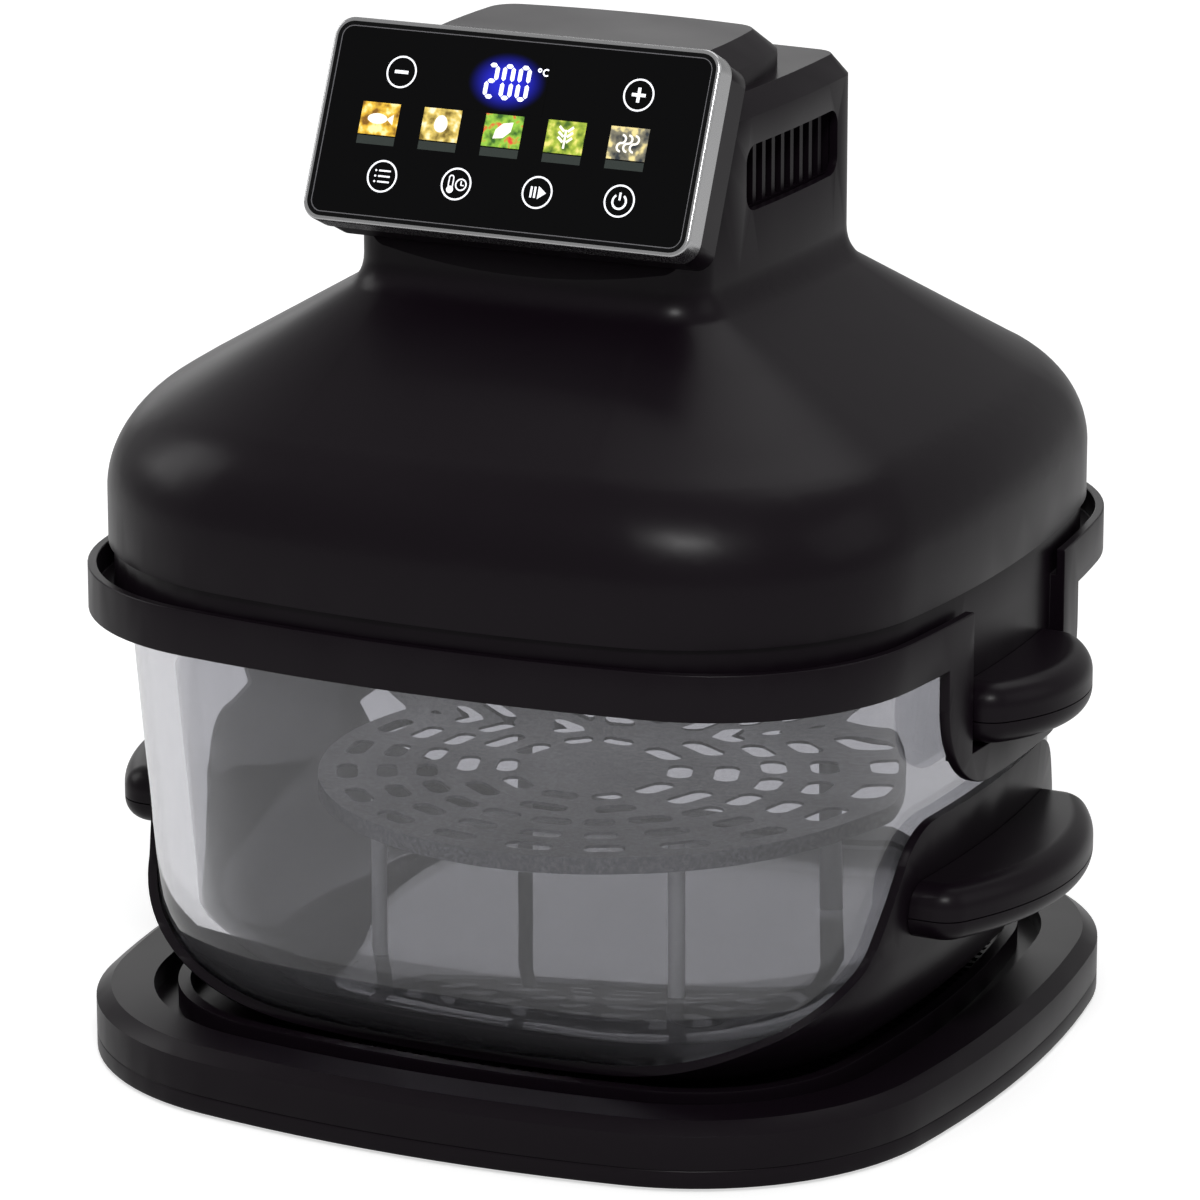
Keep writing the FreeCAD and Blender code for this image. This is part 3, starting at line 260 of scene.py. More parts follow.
def borosilicate_glass():
    """Pressed heat-proof glass: faintly hazed by washing, with slow ripples from the mould."""
    material, tree, surface = new_material("borosilicate_glass")
    ripple, ripple_depth = 60 * MM, 0.6 * MM
    bump = grain_bump(tree, ripple, 0.05, ripple_depth)[-1]
    shader = add(
        tree, "ShaderNodeBsdfPrincipled",
        {"Base Color": linear(settings("finish").glass_tint), "Roughness": 0.0, "IOR": 1.47,
         "Transmission Weight": 0.95, "Normal": bump.outputs["Normal"]},
    )
    tree.links.new(shader.outputs["BSDF"], surface)
    return material


SHEET_SHINE = 0.12


def gloss_touch_sheet():
    """Back-printed glass: a deep black under a smooth clear face, with the faintest smears."""
    material, tree, surface = new_material("back_printed_touch_glass")
    place = add(tree, "ShaderNodeTexCoord")
    smear = 18 * MM
    shader = add(
        tree, "ShaderNodeBsdfPrincipled",
        {"Base Color": linear(settings("finish").panel_black),
         "Roughness": varied(tree, place, smear, 0.05, 0.12), "IOR": 1.5, "Specular IOR Level": SHEET_SHINE},
    )
    tree.links.new(shader.outputs["BSDF"], surface)
    return material


def metal(name, colour, rough_low, rough_high, stretch, spacing, relief=0.12):
    """A bare or plated metal, with fine scratches along one way where stretch is over 1."""
    material, tree, surface = new_material(name)
    place = add(tree, "ShaderNodeTexCoord")
    lay = add(
        tree, "ShaderNodeMapping", {"Vector": place.outputs["Object"], "Scale": (1.0, stretch, stretch)},
    )
    noise = add(
        tree, "ShaderNodeTexNoise",
        {"Vector": lay.outputs["Vector"], "Scale": 1 / (spacing * stretch), "Detail": 4.0},
    )
    bump = add(
        tree, "ShaderNodeBump",
        {"Height": noise.outputs["Fac"], "Strength": relief, "Distance": GRAIN_DEPTH},
    )
    shader = add(
        tree, "ShaderNodeBsdfPrincipled",
        {"Base Color": linear(colour), "Metallic": 1.0,
         "Roughness": spread(tree, noise, 0.25, 0.75, rough_low, rough_high),
         "Normal": bump.outputs["Normal"]},
    )
    tree.links.new(shader.outputs["BSDF"], surface)
    return material


def coated_steel():
    """Steel under a sprayed non-stick coat: dark, slightly speckled, with a low sheen."""
    material, tree, surface = new_material("non_stick_coated_steel")
    speckle, speckle_depth, patch = 1.4 * MM, 0.03 * MM, 30 * MM
    place, noise, bump = grain_bump(tree, speckle, 0.15, speckle_depth)
    base = linear(settings("finish").coating)
    speck = add(tree, "ShaderNodeValToRGB", {"Fac": noise.outputs["Fac"]})
    speck.color_ramp.elements[0].position = 0.42
    speck.color_ramp.elements[0].color = base
    speck.color_ramp.elements[1].position = 0.72
    speck.color_ramp.elements[1].color = scaled(base, 2.4)
    shader = add(
        tree, "ShaderNodeBsdfPrincipled",
        {"Base Color": speck.outputs["Color"], "Roughness": varied(tree, place, patch, 0.3, 0.42),
         "Normal": bump.outputs["Normal"]},
    )
    tree.links.new(shader.outputs["BSDF"], surface)
    return material


def circuit_board():
    """Glass-fibre board under green solder mask: tracks show as paler lines."""
    material, tree, surface = new_material("solder_masked_board")
    place = add(tree, "ShaderNodeTexCoord")
    pitch = 9 * MM
    tracks = add(
        tree, "ShaderNodeTexBrick",
        {"Vector": place.outputs["Object"], "Scale": 1 / pitch, "Mortar Size": 0.06,
         "Color1": linear(settings("finish").board), "Color2": linear("#174a2a"),
         "Mortar": linear("#3c8a58")},
    )
    shader = add(
        tree, "ShaderNodeBsdfPrincipled", {"Base Color": tracks.outputs["Color"], "Roughness": 0.35},
    )
    tree.links.new(shader.outputs["BSDF"], surface)
    return material


def lit_print(name, colour, strength):
    """A translucent print lit from behind by LEDs: even, with a soft fall-off in the ink."""
    material, tree, surface = new_material(name)
    place = add(tree, "ShaderNodeTexCoord")
    blotch = 1.5 * MM
    noise = add(tree, "ShaderNodeTexNoise", {"Vector": place.outputs["Object"], "Scale": 1 / blotch})
    ink = linear(colour)
    mix = add(
        tree, "ShaderNodeMix", {"Factor": noise.outputs["Fac"], "A": scaled(ink, 0.88), "B": ink},
        data_type="RGBA",
    )
    shader = add(
        tree, "ShaderNodeBsdfPrincipled",
        {"Base Color": mix.outputs["Result"], "Emission Color": mix.outputs["Result"],
         "Emission Strength": strength, "Roughness": 0.4},
    )
    tree.links.new(shader.outputs["BSDF"], surface)
    return material


def spilt_light(name, colour, centre, reach):
    """Light that strays inside the touch sheet: brightest in the middle, gone within its reach."""
    material, tree, surface = new_material(name)
    place = add(tree, "ShaderNodeTexCoord")
    shift = (-centre[0] / reach[0], -centre[1] / reach[1], 0.0)
    lay = add(
        tree, "ShaderNodeMapping",
        {"Vector": place.outputs["Object"], "Location": shift, "Scale": (1 / reach[0], 1 / reach[1], 0.0)},
    )
    fade = add(tree, "ShaderNodeTexGradient", {"Vector": lay.outputs["Vector"]}, gradient_type="SPHERICAL")
    glow = add(tree, "ShaderNodeValToRGB", {"Fac": fade.outputs["Fac"]})
    glow.color_ramp.interpolation = "EASE"
    glow.color_ramp.elements[0].color = (0, 0, 0, 1)
    glow.color_ramp.elements[1].position = 0.75
    glow.color_ramp.elements[1].color = linear(colour)
    shader = add(
        tree, "ShaderNodeBsdfPrincipled",
        {"Base Color": linear(settings("finish").panel_black), "Emission Color": glow.outputs["Color"],
         "Emission Strength": 1.0, "Roughness": 0.1, "Specular IOR Level": SHEET_SHINE},
    )
    tree.links.new(shader.outputs["BSDF"], surface)
    return material


def picture_print(name, dark, light, spot, size):
    """A lit programme picture: blurred colours of food, in patches of about the given size."""
    material, tree, surface = new_material(name)
    place = add(tree, "ShaderNodeTexCoord")
    noise = add(
        tree, "ShaderNodeTexNoise", {"Vector": place.outputs["Object"], "Scale": 1 / size, "Detail": 2.5},
    )
    food = add(tree, "ShaderNodeValToRGB", {"Fac": noise.outputs["Fac"]})
    ramp = food.color_ramp
    ramp.elements[0].position = 0.36
    ramp.elements[0].color = linear(dark)
    ramp.elements[1].position = 0.54
    ramp.elements[1].color = linear(light)
    ramp.elements.new(0.64).color = linear(spot)
    shader = add(
        tree, "ShaderNodeBsdfPrincipled",
        {"Base Color": food.outputs["Color"], "Emission Color": food.outputs["Color"],
         "Emission Strength": 0.55, "Roughness": 0.35},
    )
    tree.links.new(shader.outputs["BSDF"], surface)
    return material


def paint(node, material):
    """Gives a CAD node one finish."""
    slots = NODES[node].data.materials
    slots.clear()
    slots.append(material)


class AIRFRYER_OT_finishes(bpy.types.Operator):
    """Gives every solid of the air fryer its finish"""

    bl_idname = "airfryer.finishes"
    bl_label = "Finishes"

    def execute(self, context):
        finish = settings("finish")
        black = finish.housing_black
        by_slot = {
            "black_plastic": moulded_abs("moulded_abs_satin_black", black, 0.29, 0.35, 0.3, 0.12),
            "silicone": moulded_abs("moulded_silicone", finish.silicone, 0.62, 0.74, 0.2, 0.12),
            "clear_glass": borosilicate_glass(),
            "panel_glass": gloss_touch_sheet(),
            "silver_trim": metal("satin_plated_bezel", finish.silver, 0.24, 0.3, 1.0, 0.8 * MM, 0.01),
            "coated_steel": coated_steel(),
            "steel": metal("rolled_sheet_steel", finish.steel, 0.26, 0.42, 14.0, 0.5 * MM),
            "element_sheath": metal("oxidised_element_sheath", finish.sheath, 0.4, 0.6, 1.0, 2.0 * MM),
            "motor_iron": metal("laminated_motor_iron", finish.iron, 0.4, 0.55, 1.0, 0.6 * MM),
            "circuit_board": circuit_board(),
        }
        for entry in frame["record"]["subparts"]:
            paint(entry["node"], by_slot[entry["material_slot"]])
        paint("crisper_feet", moulded_abs("moulded_grey_silicone", finish.foot_grey, 0.5, 0.6, 0.2, 0.3))
        return {"FINISHED"}


class AIRFRYER_OT_soft_edges(bpy.types.Operator):
    """Rounds the sharp edges of the mouldings and the bezel"""

    bl_idname = "airfryer.soft_edges"
    bl_label = "Soft edges"

    def execute(self, context):
        edges = settings("edges")
        widths = {
            "stand_top": edges.moulded,
            "stand_bottom_cover": edges.moulded,
            "lid_ring": edges.moulded,
            "upper_housing": edges.moulded,
            "bowl_cradle": edges.moulded,
            "control_pod": edges.moulded,
            "control_bezel": edges.trim,
        }
        for node, width in widths.items():
            soften(NODES[node], width, edges.segments)
        return {"FINISHED"}


def soften(obj, width, segments):
    """Joins the mesh along its shading splits, then bevels its sharp edges."""
    weld = obj.modifiers.new("join_splits", "WELD")
    weld.merge_threshold = 0.01 * MM
    bevel = obj.modifiers.new("soft_edges", "BEVEL")
    bevel.width = width
    bevel.segments = segments
    bevel.limit_method = "ANGLE"
    bevel.angle_limit = math.radians(38)
    bevel.harden_normals = True


# Glass bowl


def bowed_square(half, bow, corner, z, per_side=28, per_corner=20):
    """Points round a square with bowed sides and round corners, at height z."""
    reach = bow - corner
    side = bow - half
    # The corner's centre lies on the diagonal, at the same distance from both sides
    centre = (math.sqrt(2 * reach**2 - side**2) - side) / 2
    turn = math.atan2(centre, centre + side)
    points = []
    for quarter in range(4):
        start = quarter * math.pi / 2
        c, s = math.cos(start), math.sin(start)
        arc = []
        for k in range(per_side):
            angle = turn * (2 * k / per_side - 1)
            arc.append((bow * math.cos(angle) - side, bow * math.sin(angle)))
        for k in range(per_corner):
            angle = turn + (math.pi / 2 - 2 * turn) * k / per_corner
            arc.append((centre + corner * math.cos(angle), centre + corner * math.sin(angle)))
        points += [(x * c - y * s, x * s + y * c, z) for x, y in arc]
    return points


# How much of an inset the corner's radius gives up towards the floor
CORNER_DRAW = 0.75


def bowl_rings(offset, floor, top, rim_round, fill=0.0):
    """Rings of one face of the bowl, from the middle of its floor up to its rim."""
    bowl = settings("bowl")
    low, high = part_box("glass_bowl")
    half_top = high[0]
    edge = bowl.edge + offset
    bow = half_top * bowl.bow + offset
    corner = half_top * bowl.corner + offset + fill
    half_low = half_top + offset - bowl.draft
    low_z = floor + edge
    slope = bowl.draft / (high[2] - low[2] - bowl.edge)
    rings = []
    for share in (0.25, 0.5, 0.75, 0.95):
        flat = half_low - edge
        rings.append(bowed_square(flat * share, bow * share, (corner - edge * CORNER_DRAW) * share, floor))
    steps = 14
    for k in range(steps):
        angle = math.pi / 2 * k / steps
        inset = edge * (1 - math.sin(angle))
        z = low_z - edge * math.cos(angle)
        rings.append(bowed_square(half_low - inset, bow, corner - inset * CORNER_DRAW, z))
    steps = 8
    for k in range(steps + 1):
        z = low_z + (top - rim_round - low_z) * k / steps
        rings.append(bowed_square(half_low + slope * (z - low_z), bow, corner, z))
    return rings


class AIRFRYER_OT_glass_bowl(bpy.types.Operator):
    """Makes the pressed glass bowl as one smooth wall with a fire-polished rim"""

    bl_idname = "airfryer.glass_bowl"
    bl_label = "Glass bowl"

    def execute(self, context):
        bowl = settings("bowl")
        low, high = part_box("glass_bowl")
        floor, top = low[2], high[2]
        round_top = bowl.wall / 2
        outer = bowl_rings(0, floor, top, round_top)
        inner = bowl_rings(-bowl.wall, floor + bowl.floor, top, round_top, bowl.fill)
        rim = []
        for k in range(1, 8):
            angle = math.pi * k / 8
            across, up = (1 - math.cos(angle)) / 2, math.sin(angle) * round_top
            ring = []
            for (ax, ay, az), (bx, by, _) in zip(outer[-1], inner[-1]):
                ring.append((ax + (bx - ax) * across, ay + (by - ay) * across, az + up))
            rim.append(ring)
        mesh = bmesh.new()
        rows = [[mesh.verts.new(point) for point in ring] for ring in (*outer, *rim, *reversed(inner))]
        for below, above in zip(rows, rows[1:]):
            for k in range(len(below)):
                following = (k + 1) % len(below)
                mesh.faces.new((below[k], below[following], above[following], above[k]))
        mesh.faces.new(tuple(reversed(rows[0])))
        mesh.faces.new(tuple(rows[-1]))
        for face in mesh.faces:
            face.smooth = True
        data = bpy.data.meshes.new("bowl_glass_wall")
        mesh.to_mesh(data)
        mesh.free()
        obj = bpy.data.objects.new("bowl_glass_wall", data)
        context.scene.collection.objects.link(obj)
        data.materials.append(NODES["glass_bowl"].data.materials[0])
        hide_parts("glass_bowl")
        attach(obj, "bowl")
        return {"FINISHED"}


# Panel marks, drawn flat in metres about the panel's middle


class Marks:
    """Collects flat outlines and makes one thin raised mesh of them on the panel."""

    def __init__(self):
        self.mesh = bmesh.new()

    def loop(self, points):
        self.mesh.faces.new([self.mesh.verts.new((x, y, 0)) for x, y in points])

    def bar(self, x, y, width, height, turn=0.0):
        a, b = width / 2, height / 2
        corners = [(-a, -b), (a, -b), (a, b), (-a, b)]
        c, s = math.cos(turn), math.sin(turn)
        self.loop([(x + a * c - b * s, y + a * s + b * c) for a, b in corners])

    def disc(self, x, y, radius, steps=28):
        turns = [2 * math.pi * k / steps for k in range(steps)]
        self.loop([(x + radius * math.cos(t), y + radius * math.sin(t)) for t in turns])

    def band(self, x, y, radius, stroke, start=0.0, end=2 * math.pi, steps=56):
        """A stroke along an arc."""
        for k in range(steps):
            a, b = (start + (end - start) * (k + i) / steps for i in (0, 1))
            inner, outer = radius - stroke / 2, radius + stroke / 2
            corners = ((inner, a), (outer, a), (outer, b), (inner, b))
            self.loop([(x + r * math.cos(t), y + r * math.sin(t)) for r, t in corners])

    def frame(self, half_wide, half_tall, corner, inner, outer, steps=10):
        """A stroke round a rectangle with round corners, from one offset to another."""
        rows = []
        for grow in (inner, outer):
            ring = []
            for quarter, (sx, sy) in enumerate(((1, 1), (-1, 1), (-1, -1), (1, -1))):
                for k in range(steps + 1):
                    t = math.pi / 2 * (quarter + k / steps)
                    radius = corner + grow
                    ring.append((sx * (half_wide - corner) + radius * math.cos(t),
                                 sy * (half_tall - corner) + radius * math.sin(t)))
            rows.append(ring)
        count = len(rows[0])
        for k in range(count):
            following = (k + 1) % count
            self.loop([rows[0][k], rows[1][k], rows[1][following], rows[0][following]])

    def place(self, name, material, slot_name, height, lift=0.0):
        """Thickens the marks, sets them on the touch sheet and lets them ride with the head."""
        panel = settings("panel")
        bmesh.ops.remove_doubles(self.mesh, verts=self.mesh.verts, dist=0.002 * MM)
        bmesh.ops.recalc_face_normals(self.mesh, faces=self.mesh.faces)
        for face in self.mesh.faces:
            if face.normal.z < 0:
                face.normal_flip()
        grown = bmesh.ops.extrude_face_region(self.mesh, geom=self.mesh.faces[:])
        raised = [v for v in grown["geom"] if isinstance(v, bmesh.types.BMVert)]
        bmesh.ops.translate(self.mesh, verts=raised, vec=(0, 0, height))
        bmesh.ops.recalc_face_normals(self.mesh, faces=self.mesh.faces)
        data = bpy.data.meshes.new(name)
        self.mesh.to_mesh(data)
        self.mesh.free()
        obj = bpy.data.objects.new(name, data)
        bpy.context.scene.collection.objects.link(obj)
        turn = Matrix.Rotation(math.pi / 2 - panel.tilt, 4, "X")
        out = turn @ Vector((0, 0, 1))
        base = Vector(panel.centre) + out * (lift + 0.02 * MM - panel.sheet_drop)
        obj.matrix_world = Matrix.Translation(base) @ turn
        data.materials.append(material)
        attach(obj, "head")
        return obj


class AIRFRYER_OT_panel_edge(bpy.types.Operator):
    """Lays a dark ring of painted shade in the gap between touch sheet and bezel, and a grey ring of painted
    highlight on the sheet's edge
    """

    bl_idname = "airfryer.panel_edge"
    bl_label = "Panel edge"

    def execute(self, context):
        panel, finish = settings("panel"), settings("finish")
        wide, tall, corner = panel.sheet_width / 2, panel.sheet_height / 2, panel.sheet_corner
        highlight_in, gap_in, gap_out = -0.62 * MM, -0.3 * MM, 0.95 * MM
        gap_shade_height = 0.26 * MM
        # A thin dark ring in the gap between sheet and bezel: painted shade of the gap
        gap_shade = Marks()
        gap_shade.frame(wide, tall, corner, gap_in, gap_out)
        gap_black = moulded_abs("painted_gap_shade", finish.panel_black, 0.45, 0.55, 0.1, 0.1)
        gap_shade.place("panel_gap_shade", gap_black, "silicone", gap_shade_height)
        # A grey ring of painted highlight along the sheet's bevelled edge, with no light of its own
        edge = Marks()
        edge.frame(wide, tall, corner, highlight_in, gap_in)
        edge_shine = lit_print("painted_edge_highlight", finish.edge_highlight_grey, 0.0)
        edge.place("touch_sheet_painted_highlight", edge_shine, "panel_glass", panel.print_height)
        return {"FINISHED"}


class AIRFRYER_OT_panel_icons(bpy.types.Operator):
    """Draws the round touch icons: less, more, list, thermometer, start and pause, power"""

    bl_idname = "airfryer.panel_icons"
    bl_label = "Panel icons"

    def execute(self, context):
        panel = settings("panel")
        r, w = panel.icon_radius, panel.stroke
        marks = Marks()
        side = 40.7 * MM
        spots = {
            "less": (-side, panel.top_row), "more": (side, panel.top_row), "list": (-side, panel.low_row),
            "heat": (-15 * MM, panel.low_row), "start": (12.8 * MM, panel.low_row),
            "power": (side, panel.low_row),
        }
        for x, y in spots.values():
            marks.band(x, y, r, w)
        x, y = spots["less"]
        marks.bar(x, y, r * 0.95, w * 1.9)
        x, y = spots["more"]
        marks.bar(x, y, r * 0.95, w * 1.9)
        marks.bar(x, y + r * 0.3, w * 1.9, r * 0.36)
        marks.bar(x, y - r * 0.3, w * 1.9, r * 0.36)
        x, y = spots["list"]
        for row in (-1, 0, 1):
            marks.disc(x - r * 0.48, y + row * r * 0.36, w * 0.62, 12)
            marks.bar(x + r * 0.14, y + row * r * 0.36, r * 0.82, w * 0.95)
        x, y = spots["heat"]
        marks.band(x - r * 0.38, y + r * 0.38, r * 0.15, w * 0.7, 0, math.pi, 12)
        for edge in (-1, 1):
            marks.bar(x - r * 0.38 + edge * r * 0.15, y + r * 0.1, w * 0.7, r * 0.56)
        marks.disc(x - r * 0.38, y - r * 0.38, r * 0.24, 18)
        marks.band(x + r * 0.34, y - r * 0.02, r * 0.36, w * 0.8, steps=28)
        marks.bar(x + r * 0.34, y + r * 0.08, w * 0.7, r * 0.26)
        marks.bar(x + r * 0.44, y - r * 0.06, r * 0.22, w * 0.6)
        x, y = spots["start"]
        for step in (-0.42, -0.16):
            marks.bar(x + step * r, y, w * 1.2, r * 0.72)
        marks.loop([(x + r * 0.06, y - r * 0.42), (x + r * 0.62, y), (x + r * 0.06, y + r * 0.42)])
        x, y = spots["power"]
        marks.band(x, y - r * 0.04, r * 0.46, w * 1.2, math.radians(125), math.radians(415), 36)
        marks.bar(x, y + r * 0.3, w * 1.2, r * 0.5)
        white = lit_print("lit_icon_print", settings("finish").icon_white, 0.75)
        marks.place("panel_icons", white, "panel_glass", panel.print_height)
        return {"FINISHED"}


SEGMENTS = {"0": "abcdef", "1": "bc", "2": "abged", "8": "abcdefg"}


class AIRFRYER_OT_panel_digits(bpy.types.Operator):
    """Draws the lit temperature as seven-segment digits with a degree sign"""

    bl_idname = "airfryer.panel_digits"
    bl_label = "Panel digits"

    reading: StringProperty(name="Reading", description="Digits to show", default="200")

    def execute(self, context):
        panel, finish = settings("panel"), settings("finish")
        tall = panel.digit_height
        wide, pitch = tall * 0.38, tall * 0.48
        row = panel.top_row
        middle = panel.digit_place
        start = middle - pitch * (len(self.reading) - 1) / 2
        halo = Marks()
        halo.bar(middle, row, tall * 2.4, tall * 1.7)
        reach = (tall * 1.2, tall * 0.85)
        glow = spilt_light("led_light_in_the_sheet", finish.digit_glow, (middle, row), reach)
        halo.place("panel_digit_glow", glow, "panel_glass", panel.print_height / 2)
        marks = Marks()
        for k, digit in enumerate(self.reading):
            draw_digit(marks, SEGMENTS[digit], start + k * pitch, row, wide, tall)
        x = start + len(self.reading) * pitch - pitch * 0.05
        top = row + tall * 0.36
        marks.band(x - 0.3 * MM, top + 0.6 * MM, 0.5 * MM, 0.4 * MM, steps=16)
        marks.band(x + 2.0 * MM, top, 1.0 * MM, 0.45 * MM, math.radians(50), math.radians(310), 20)
        led = lit_print("lit_digit_led", finish.digit_white, 1.2)
        marks.place("panel_digits", led, "panel_glass", panel.print_height, panel.print_height)
        return {"FINISHED"}


def bar_outline(reach, bar):
    """A bar that ends in points, along x."""
    end, side = reach / 2, bar / 2
    flat = end - side
    return [(-end, 0), (-flat, side), (flat, side), (end, 0), (flat, -side), (-flat, -side)]


def draw_digit(marks, segments, x, y, wide, tall):
    """Seven bevelled bars, upright, lettered as is usual from the top round to the middle."""
    bar = tall * 0.12
    gap = tall * 0.02
    half = tall / 4
    across = {"a": 2 * half, "g": 0.0, "d": -2 * half}
    down = {"b": (1, 1), "c": (1, -1), "e": (-1, -1), "f": (-1, 1)}
    for name in segments:
        if name in across:
            cy = y + across[name] * (1 - bar / tall)
            marks.loop([(x + px, cy + py) for px, py in bar_outline(wide - bar - gap * 2, bar)])
        else:
            sx, sy = down[name]
            cx = x + sx * (wide - bar) / 2
            cy = y + sy * half * (1 - bar / tall)
            reach = 2 * half * (1 - bar / tall) - gap * 2
            marks.loop([(cx + py, cy + px) for px, py in bar_outline(reach, bar)])


TILES = (
    ("fish", "#7a5210", "#e6b93a", "#f7e6a0"),
    ("egg", "#6d5a1e", "#d9bf62", "#f4ecc4"),
    ("leaf", "#2f5a1c", "#8fbf3f", "#d8452e"),
    ("grain", "#3f5f1a", "#9fb23a", "#e2d774"),
    ("steam", "#2b2f33", "#7f7a66", "#e0cf8e"),
)


class AIRFRYER_OT_panel_tiles(bpy.types.Operator):
    """Draws the row of lit programme pictures, each with a plain sign of its own"""

    bl_idname = "airfryer.panel_tiles"
    bl_label = "Panel tiles"

    def execute(self, context):
        panel = settings("panel")
        wide, tall = panel.tile_width, panel.tile_height
        pitch, last = 21.35 * MM, 40.1 * MM
        white = lit_print("lit_tile_sign", "#fbf7ea", 0.6)
        strip = lit_print("lit_tile_strip", "#2c3430", 0.15)
        signs = Marks()
        strips = Marks()
        for k, (sign, dark, light, spot) in enumerate(TILES):
            x = last - (len(TILES) - 1 - k) * pitch
            picture = Marks()
            picture.bar(x, panel.tile_row + tall * 0.12, wide, tall * 0.76)
            food = picture_print(f"lit_picture_{sign}", dark, light, spot, 4.0 * MM)
            picture.place(f"tile_{sign}", food, "panel_glass", panel.print_height)
            strips.bar(x, panel.tile_row - tall * 0.39, wide, tall * 0.2)
            draw_sign(signs, sign, x, panel.tile_row + tall * 0.12, wide)
        strips.place("tile_strips", strip, "panel_glass", panel.print_height)
        signs.place("tile_signs", white, "panel_glass", panel.print_height, panel.print_height * 1.5)
        return {"FINISHED"}


def draw_sign(marks, sign, x, y, wide):
    """A plain sign for each programme."""
    u = wide / 13
    line = 0.7 * u
    if sign == "fish":
        turns = steps_round(24)
        marks.loop([(x + 3.4 * u * math.cos(t) - 0.6 * u, y + 1.7 * u * math.sin(t)) for t in turns])
        marks.loop([(x + 2.6 * u, y), (x + 4.8 * u, y + 1.7 * u), (x + 4.8 * u, y - 1.7 * u)])
    elif sign == "egg":
        ends = [(t, 3.1 * u if math.sin(t) > 0 else 2.4 * u) for t in steps_round(28)]
        marks.loop([(x + 2.3 * u * math.cos(t), y + end * math.sin(t)) for t, end in ends])
    elif sign == "leaf":
        outline = [(-3, -2.6), (0.4, -2.2), (2.8, 0), (3.2, 3), (-0.2, 2.4), (-2.4, 0.4)]
        marks.loop([(x + a * u, y + b * u) for a, b in outline])
    elif sign == "grain":
        marks.bar(x, y - 0.6 * u, line, 6 * u)
        for row in range(3):
            for side in (-1, 1):
                marks.bar(x + side * 1.5 * u, y + (row * 1.7 - 0.8) * u, 2.4 * u, line * 1.2, side * 0.7)
    else:
        for column in (-1, 0, 1):
            for row in range(2):
                bend = (0.5, 1.5) if row == 0 else (-0.5, 0.5)
                marks.band(x + column * 2.2 * u, y + (row * 2 - 1) * 1.3 * u, 1.3 * u, line,
                           bend[0] * math.pi, bend[1] * math.pi, 14)


def steps_round(count):
    return [2 * math.pi * k / count for k in range(count)]


# Studio


class AIRFRYER_OT_stage(bpy.types.Operator):
    """Sets the white floor, the soft lamps and the camera"""

    bl_idname = "airfryer.stage"
    bl_label = "Stage"

    def execute(self, context):
        stage = settings("stage")
        scene = context.scene
        scene.view_settings.view_transform = "Standard"
        floor_mesh = bpy.data.meshes.new("floor")
        half = stage.floor_size / 2
        corners = [(-half, -half, 0), (half, -half, 0), (half, half, 0), (-half, half, 0)]
        floor_mesh.from_pydata(corners, [], [(0, 1, 2, 3)])
        floor = bpy.data.objects.new("floor", floor_mesh)
        scene.collection.objects.link(floor)
        floor_mesh.materials.append(white_floor())
        scene.world = studio_world()
        lamp("top_softbox", (0.1, 0.9, 2.0), 1.6, 1.2, 9)
        lamp("front_softbox", (0.6, -1.3, 1.42), 0.4, 0.25, 14)
        lamp("fill_softbox", (1.9, 0.3, 1.1), 1.2, 1.2, 3)
        lamp("rim_softbox", (-1.2, 1.8, 0.55), 1.6, 0.6, 2.8)
        lamp("left_softbox", (-1.9, -0.2, 1.2), 1.0, 1.0, 9)
        set_camera(scene, stage)
        return {"FINISHED"}


def seen_directly(tree, gloss):
    """1 for rays from the camera or through glass, and the given share for rays off gloss."""
    path = add(tree, "ShaderNodeLightPath")
    shine = add(tree, "ShaderNodeMath", {0: path.outputs["Is Glossy Ray"], 1: gloss}, operation="MULTIPLY")
    clear = add(
        tree, "ShaderNodeMath",
        {0: path.outputs["Is Camera Ray"], 1: path.outputs["Is Transmission Ray"]}, operation="MAXIMUM",
    )
    most = add(
        tree, "ShaderNodeMath", {0: clear.outputs["Value"], 1: shine.outputs["Value"]}, operation="MAXIMUM",
    )
    return most.outputs["Value"]


def white_floor():
    """Seamless paper: near-white where it is lit, with the object's soft shadow."""
    material, tree, surface = new_material("studio_paper")
    matte = add(tree, "ShaderNodeBsdfDiffuse", {"Color": linear("#d6d6d6")})
    glow = add(tree, "ShaderNodeEmission", {"Color": (1, 1, 1, 1), "Strength": 0.62})
    shown = add(tree, "ShaderNodeMixShader", {"Fac": seen_directly(tree, 0.3)})
    dark = add(tree, "ShaderNodeEmission", {"Color": (0, 0, 0, 1), "Strength": 0.0})
    tree.links.new(dark.outputs["Emission"], shown.inputs[1])
    tree.links.new(glow.outputs["Emission"], shown.inputs[2])
    total = add(tree, "ShaderNodeAddShader")
    tree.links.new(matte.outputs["BSDF"], total.inputs[0])
    tree.links.new(shown.outputs["Shader"], total.inputs[1])
    tree.links.new(total.outputs["Shader"], surface)
    return material


def studio_world():
    world = bpy.data.worlds.new("studio")
    world.use_nodes = True
    tree = world.node_tree
    tree.nodes.clear()
    output = add(tree, "ShaderNodeOutputWorld")
    strength = add(
        tree, "ShaderNodeMapRange", {"Value": seen_directly(tree, 0.1), "To Min": 0.35, "To Max": 1.0},
    )
    sky = add(tree, "ShaderNodeBackground", {"Color": (1, 1, 1, 1), "Strength": strength.outputs["Result"]})
    tree.links.new(sky.outputs["Background"], output.inputs["Surface"])
    return world


def lamp(name, place, wide, tall, watts):
    """A softbox turned to the middle of the object."""
    light = bpy.data.lights.new(name, "AREA")
    light.shape = "RECTANGLE"
    light.size = wide
    light.size_y = tall
    light.energy = watts
    obj = bpy.data.objects.new(name, light)
    obj.location = place
    obj.rotation_euler = (Vector((0, 0, 0.17)) - Vector(place)).to_track_quat("-Z", "Y").to_euler()
    bpy.context.scene.collection.objects.link(obj)


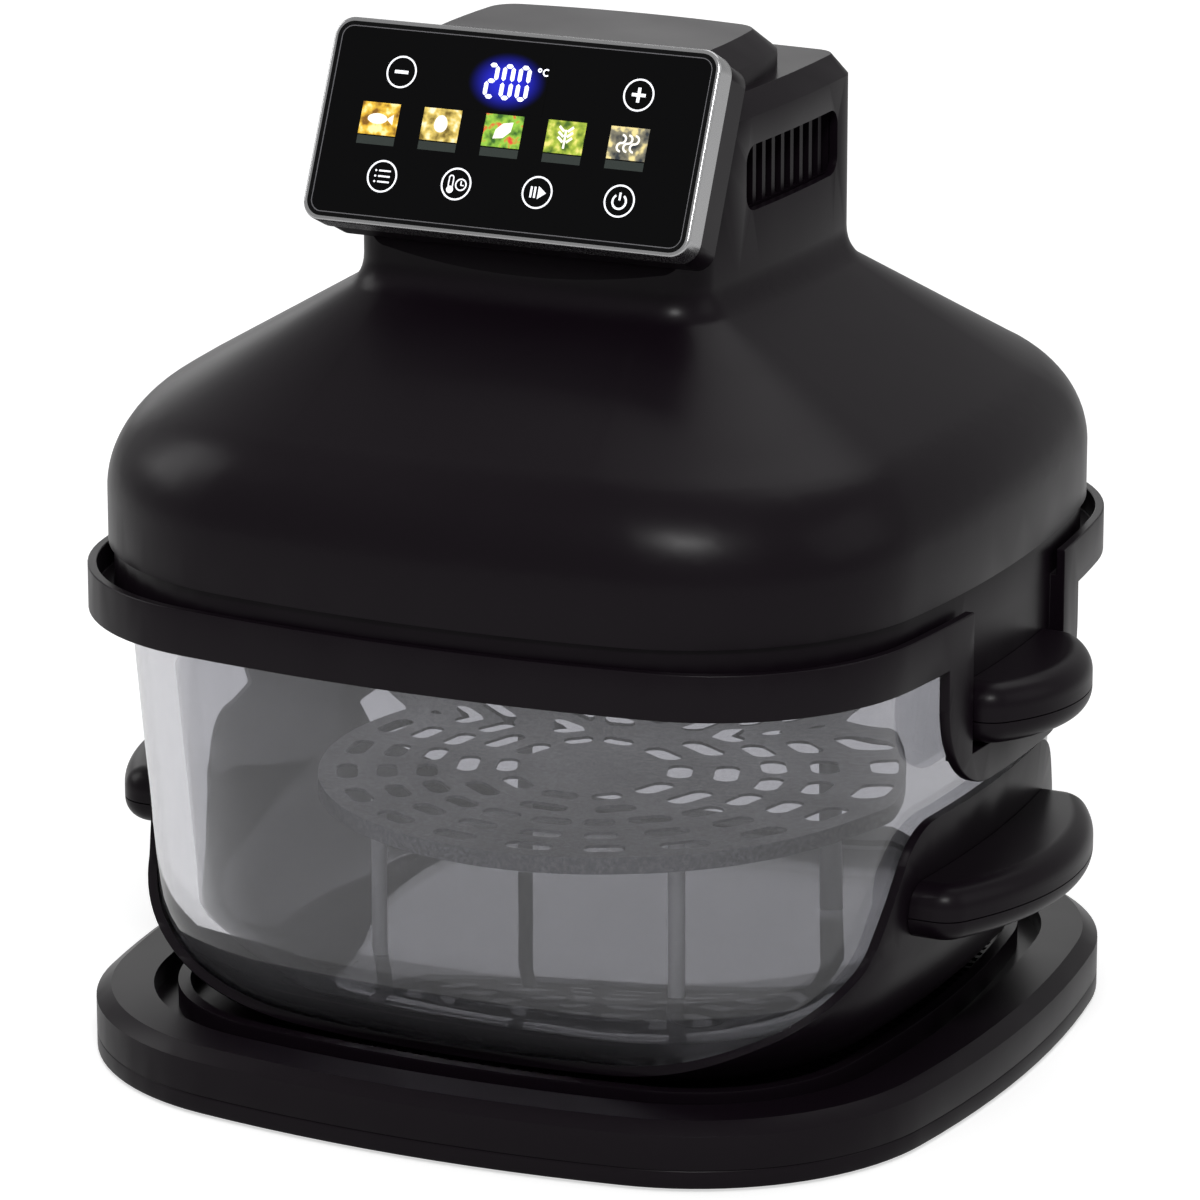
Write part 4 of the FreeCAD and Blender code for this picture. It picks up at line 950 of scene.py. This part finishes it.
def set_camera(scene, stage):
    data = bpy.data.cameras.new("camera")
    data.lens = stage.lens
    data.sensor_width = 36.0
    camera = bpy.data.objects.new("camera", data)
    scene.collection.objects.link(camera)
    a, e = stage.azimuth, stage.elevation
    away = Vector((math.sin(a) * math.cos(e), -math.cos(a) * math.cos(e), math.sin(e)))
    camera.location = Vector(stage.aim) + away * stage.distance
    camera.rotation_euler = (-away).to_track_quat("-Z", "Y").to_euler()
    scene.camera = camera


class AIRFRYER_PT_sidebar(bpy.types.Panel):
    """The air fryer's steps, in order"""

    bl_idname = "AIRFRYER_PT_sidebar"
    bl_label = "Glass Air Fryer"
    bl_space_type = "VIEW_3D"
    bl_region_type = "UI"
    bl_category = "Air Fryer"

    def draw(self, context):
        for operator in OPERATORS:
            self.layout.operator(operator.bl_idname)


GROUPS = {
    "finish": FinishSettings,
    "edges": EdgeSettings,
    "bowl": BowlSettings,
    "panel": PanelSettings,
    "stage": StageSettings,
}
OPERATORS = (
    AIRFRYER_OT_finishes,
    AIRFRYER_OT_soft_edges,
    AIRFRYER_OT_glass_bowl,
    AIRFRYER_OT_panel_edge,
    AIRFRYER_OT_panel_icons,
    AIRFRYER_OT_panel_digits,
    AIRFRYER_OT_panel_tiles,
    AIRFRYER_OT_stage,
)


def register():
    for group in GROUPS.values():
        bpy.utils.register_class(group)
    for name, group in GROUPS.items():
        setattr(bpy.types.Scene, "air_fryer_" + name, PointerProperty(type=group))
    for cls in (*OPERATORS, AIRFRYER_PT_sidebar):
        bpy.utils.register_class(cls)


def unregister():
    for cls in (AIRFRYER_PT_sidebar, *reversed(OPERATORS)):
        bpy.utils.unregister_class(cls)
    for name, group in GROUPS.items():
        delattr(bpy.types.Scene, "air_fryer_" + name)
        bpy.utils.unregister_class(group)


def main():
    register()
    bpy.ops.airfryer.finishes()
    bpy.ops.airfryer.soft_edges()
    bpy.ops.airfryer.glass_bowl()
    bpy.ops.airfryer.panel_edge()
    bpy.ops.airfryer.panel_icons()
    bpy.ops.airfryer.panel_digits()
    bpy.ops.airfryer.panel_tiles()
    bpy.ops.airfryer.stage()


if __name__ == "__main__":
    main()
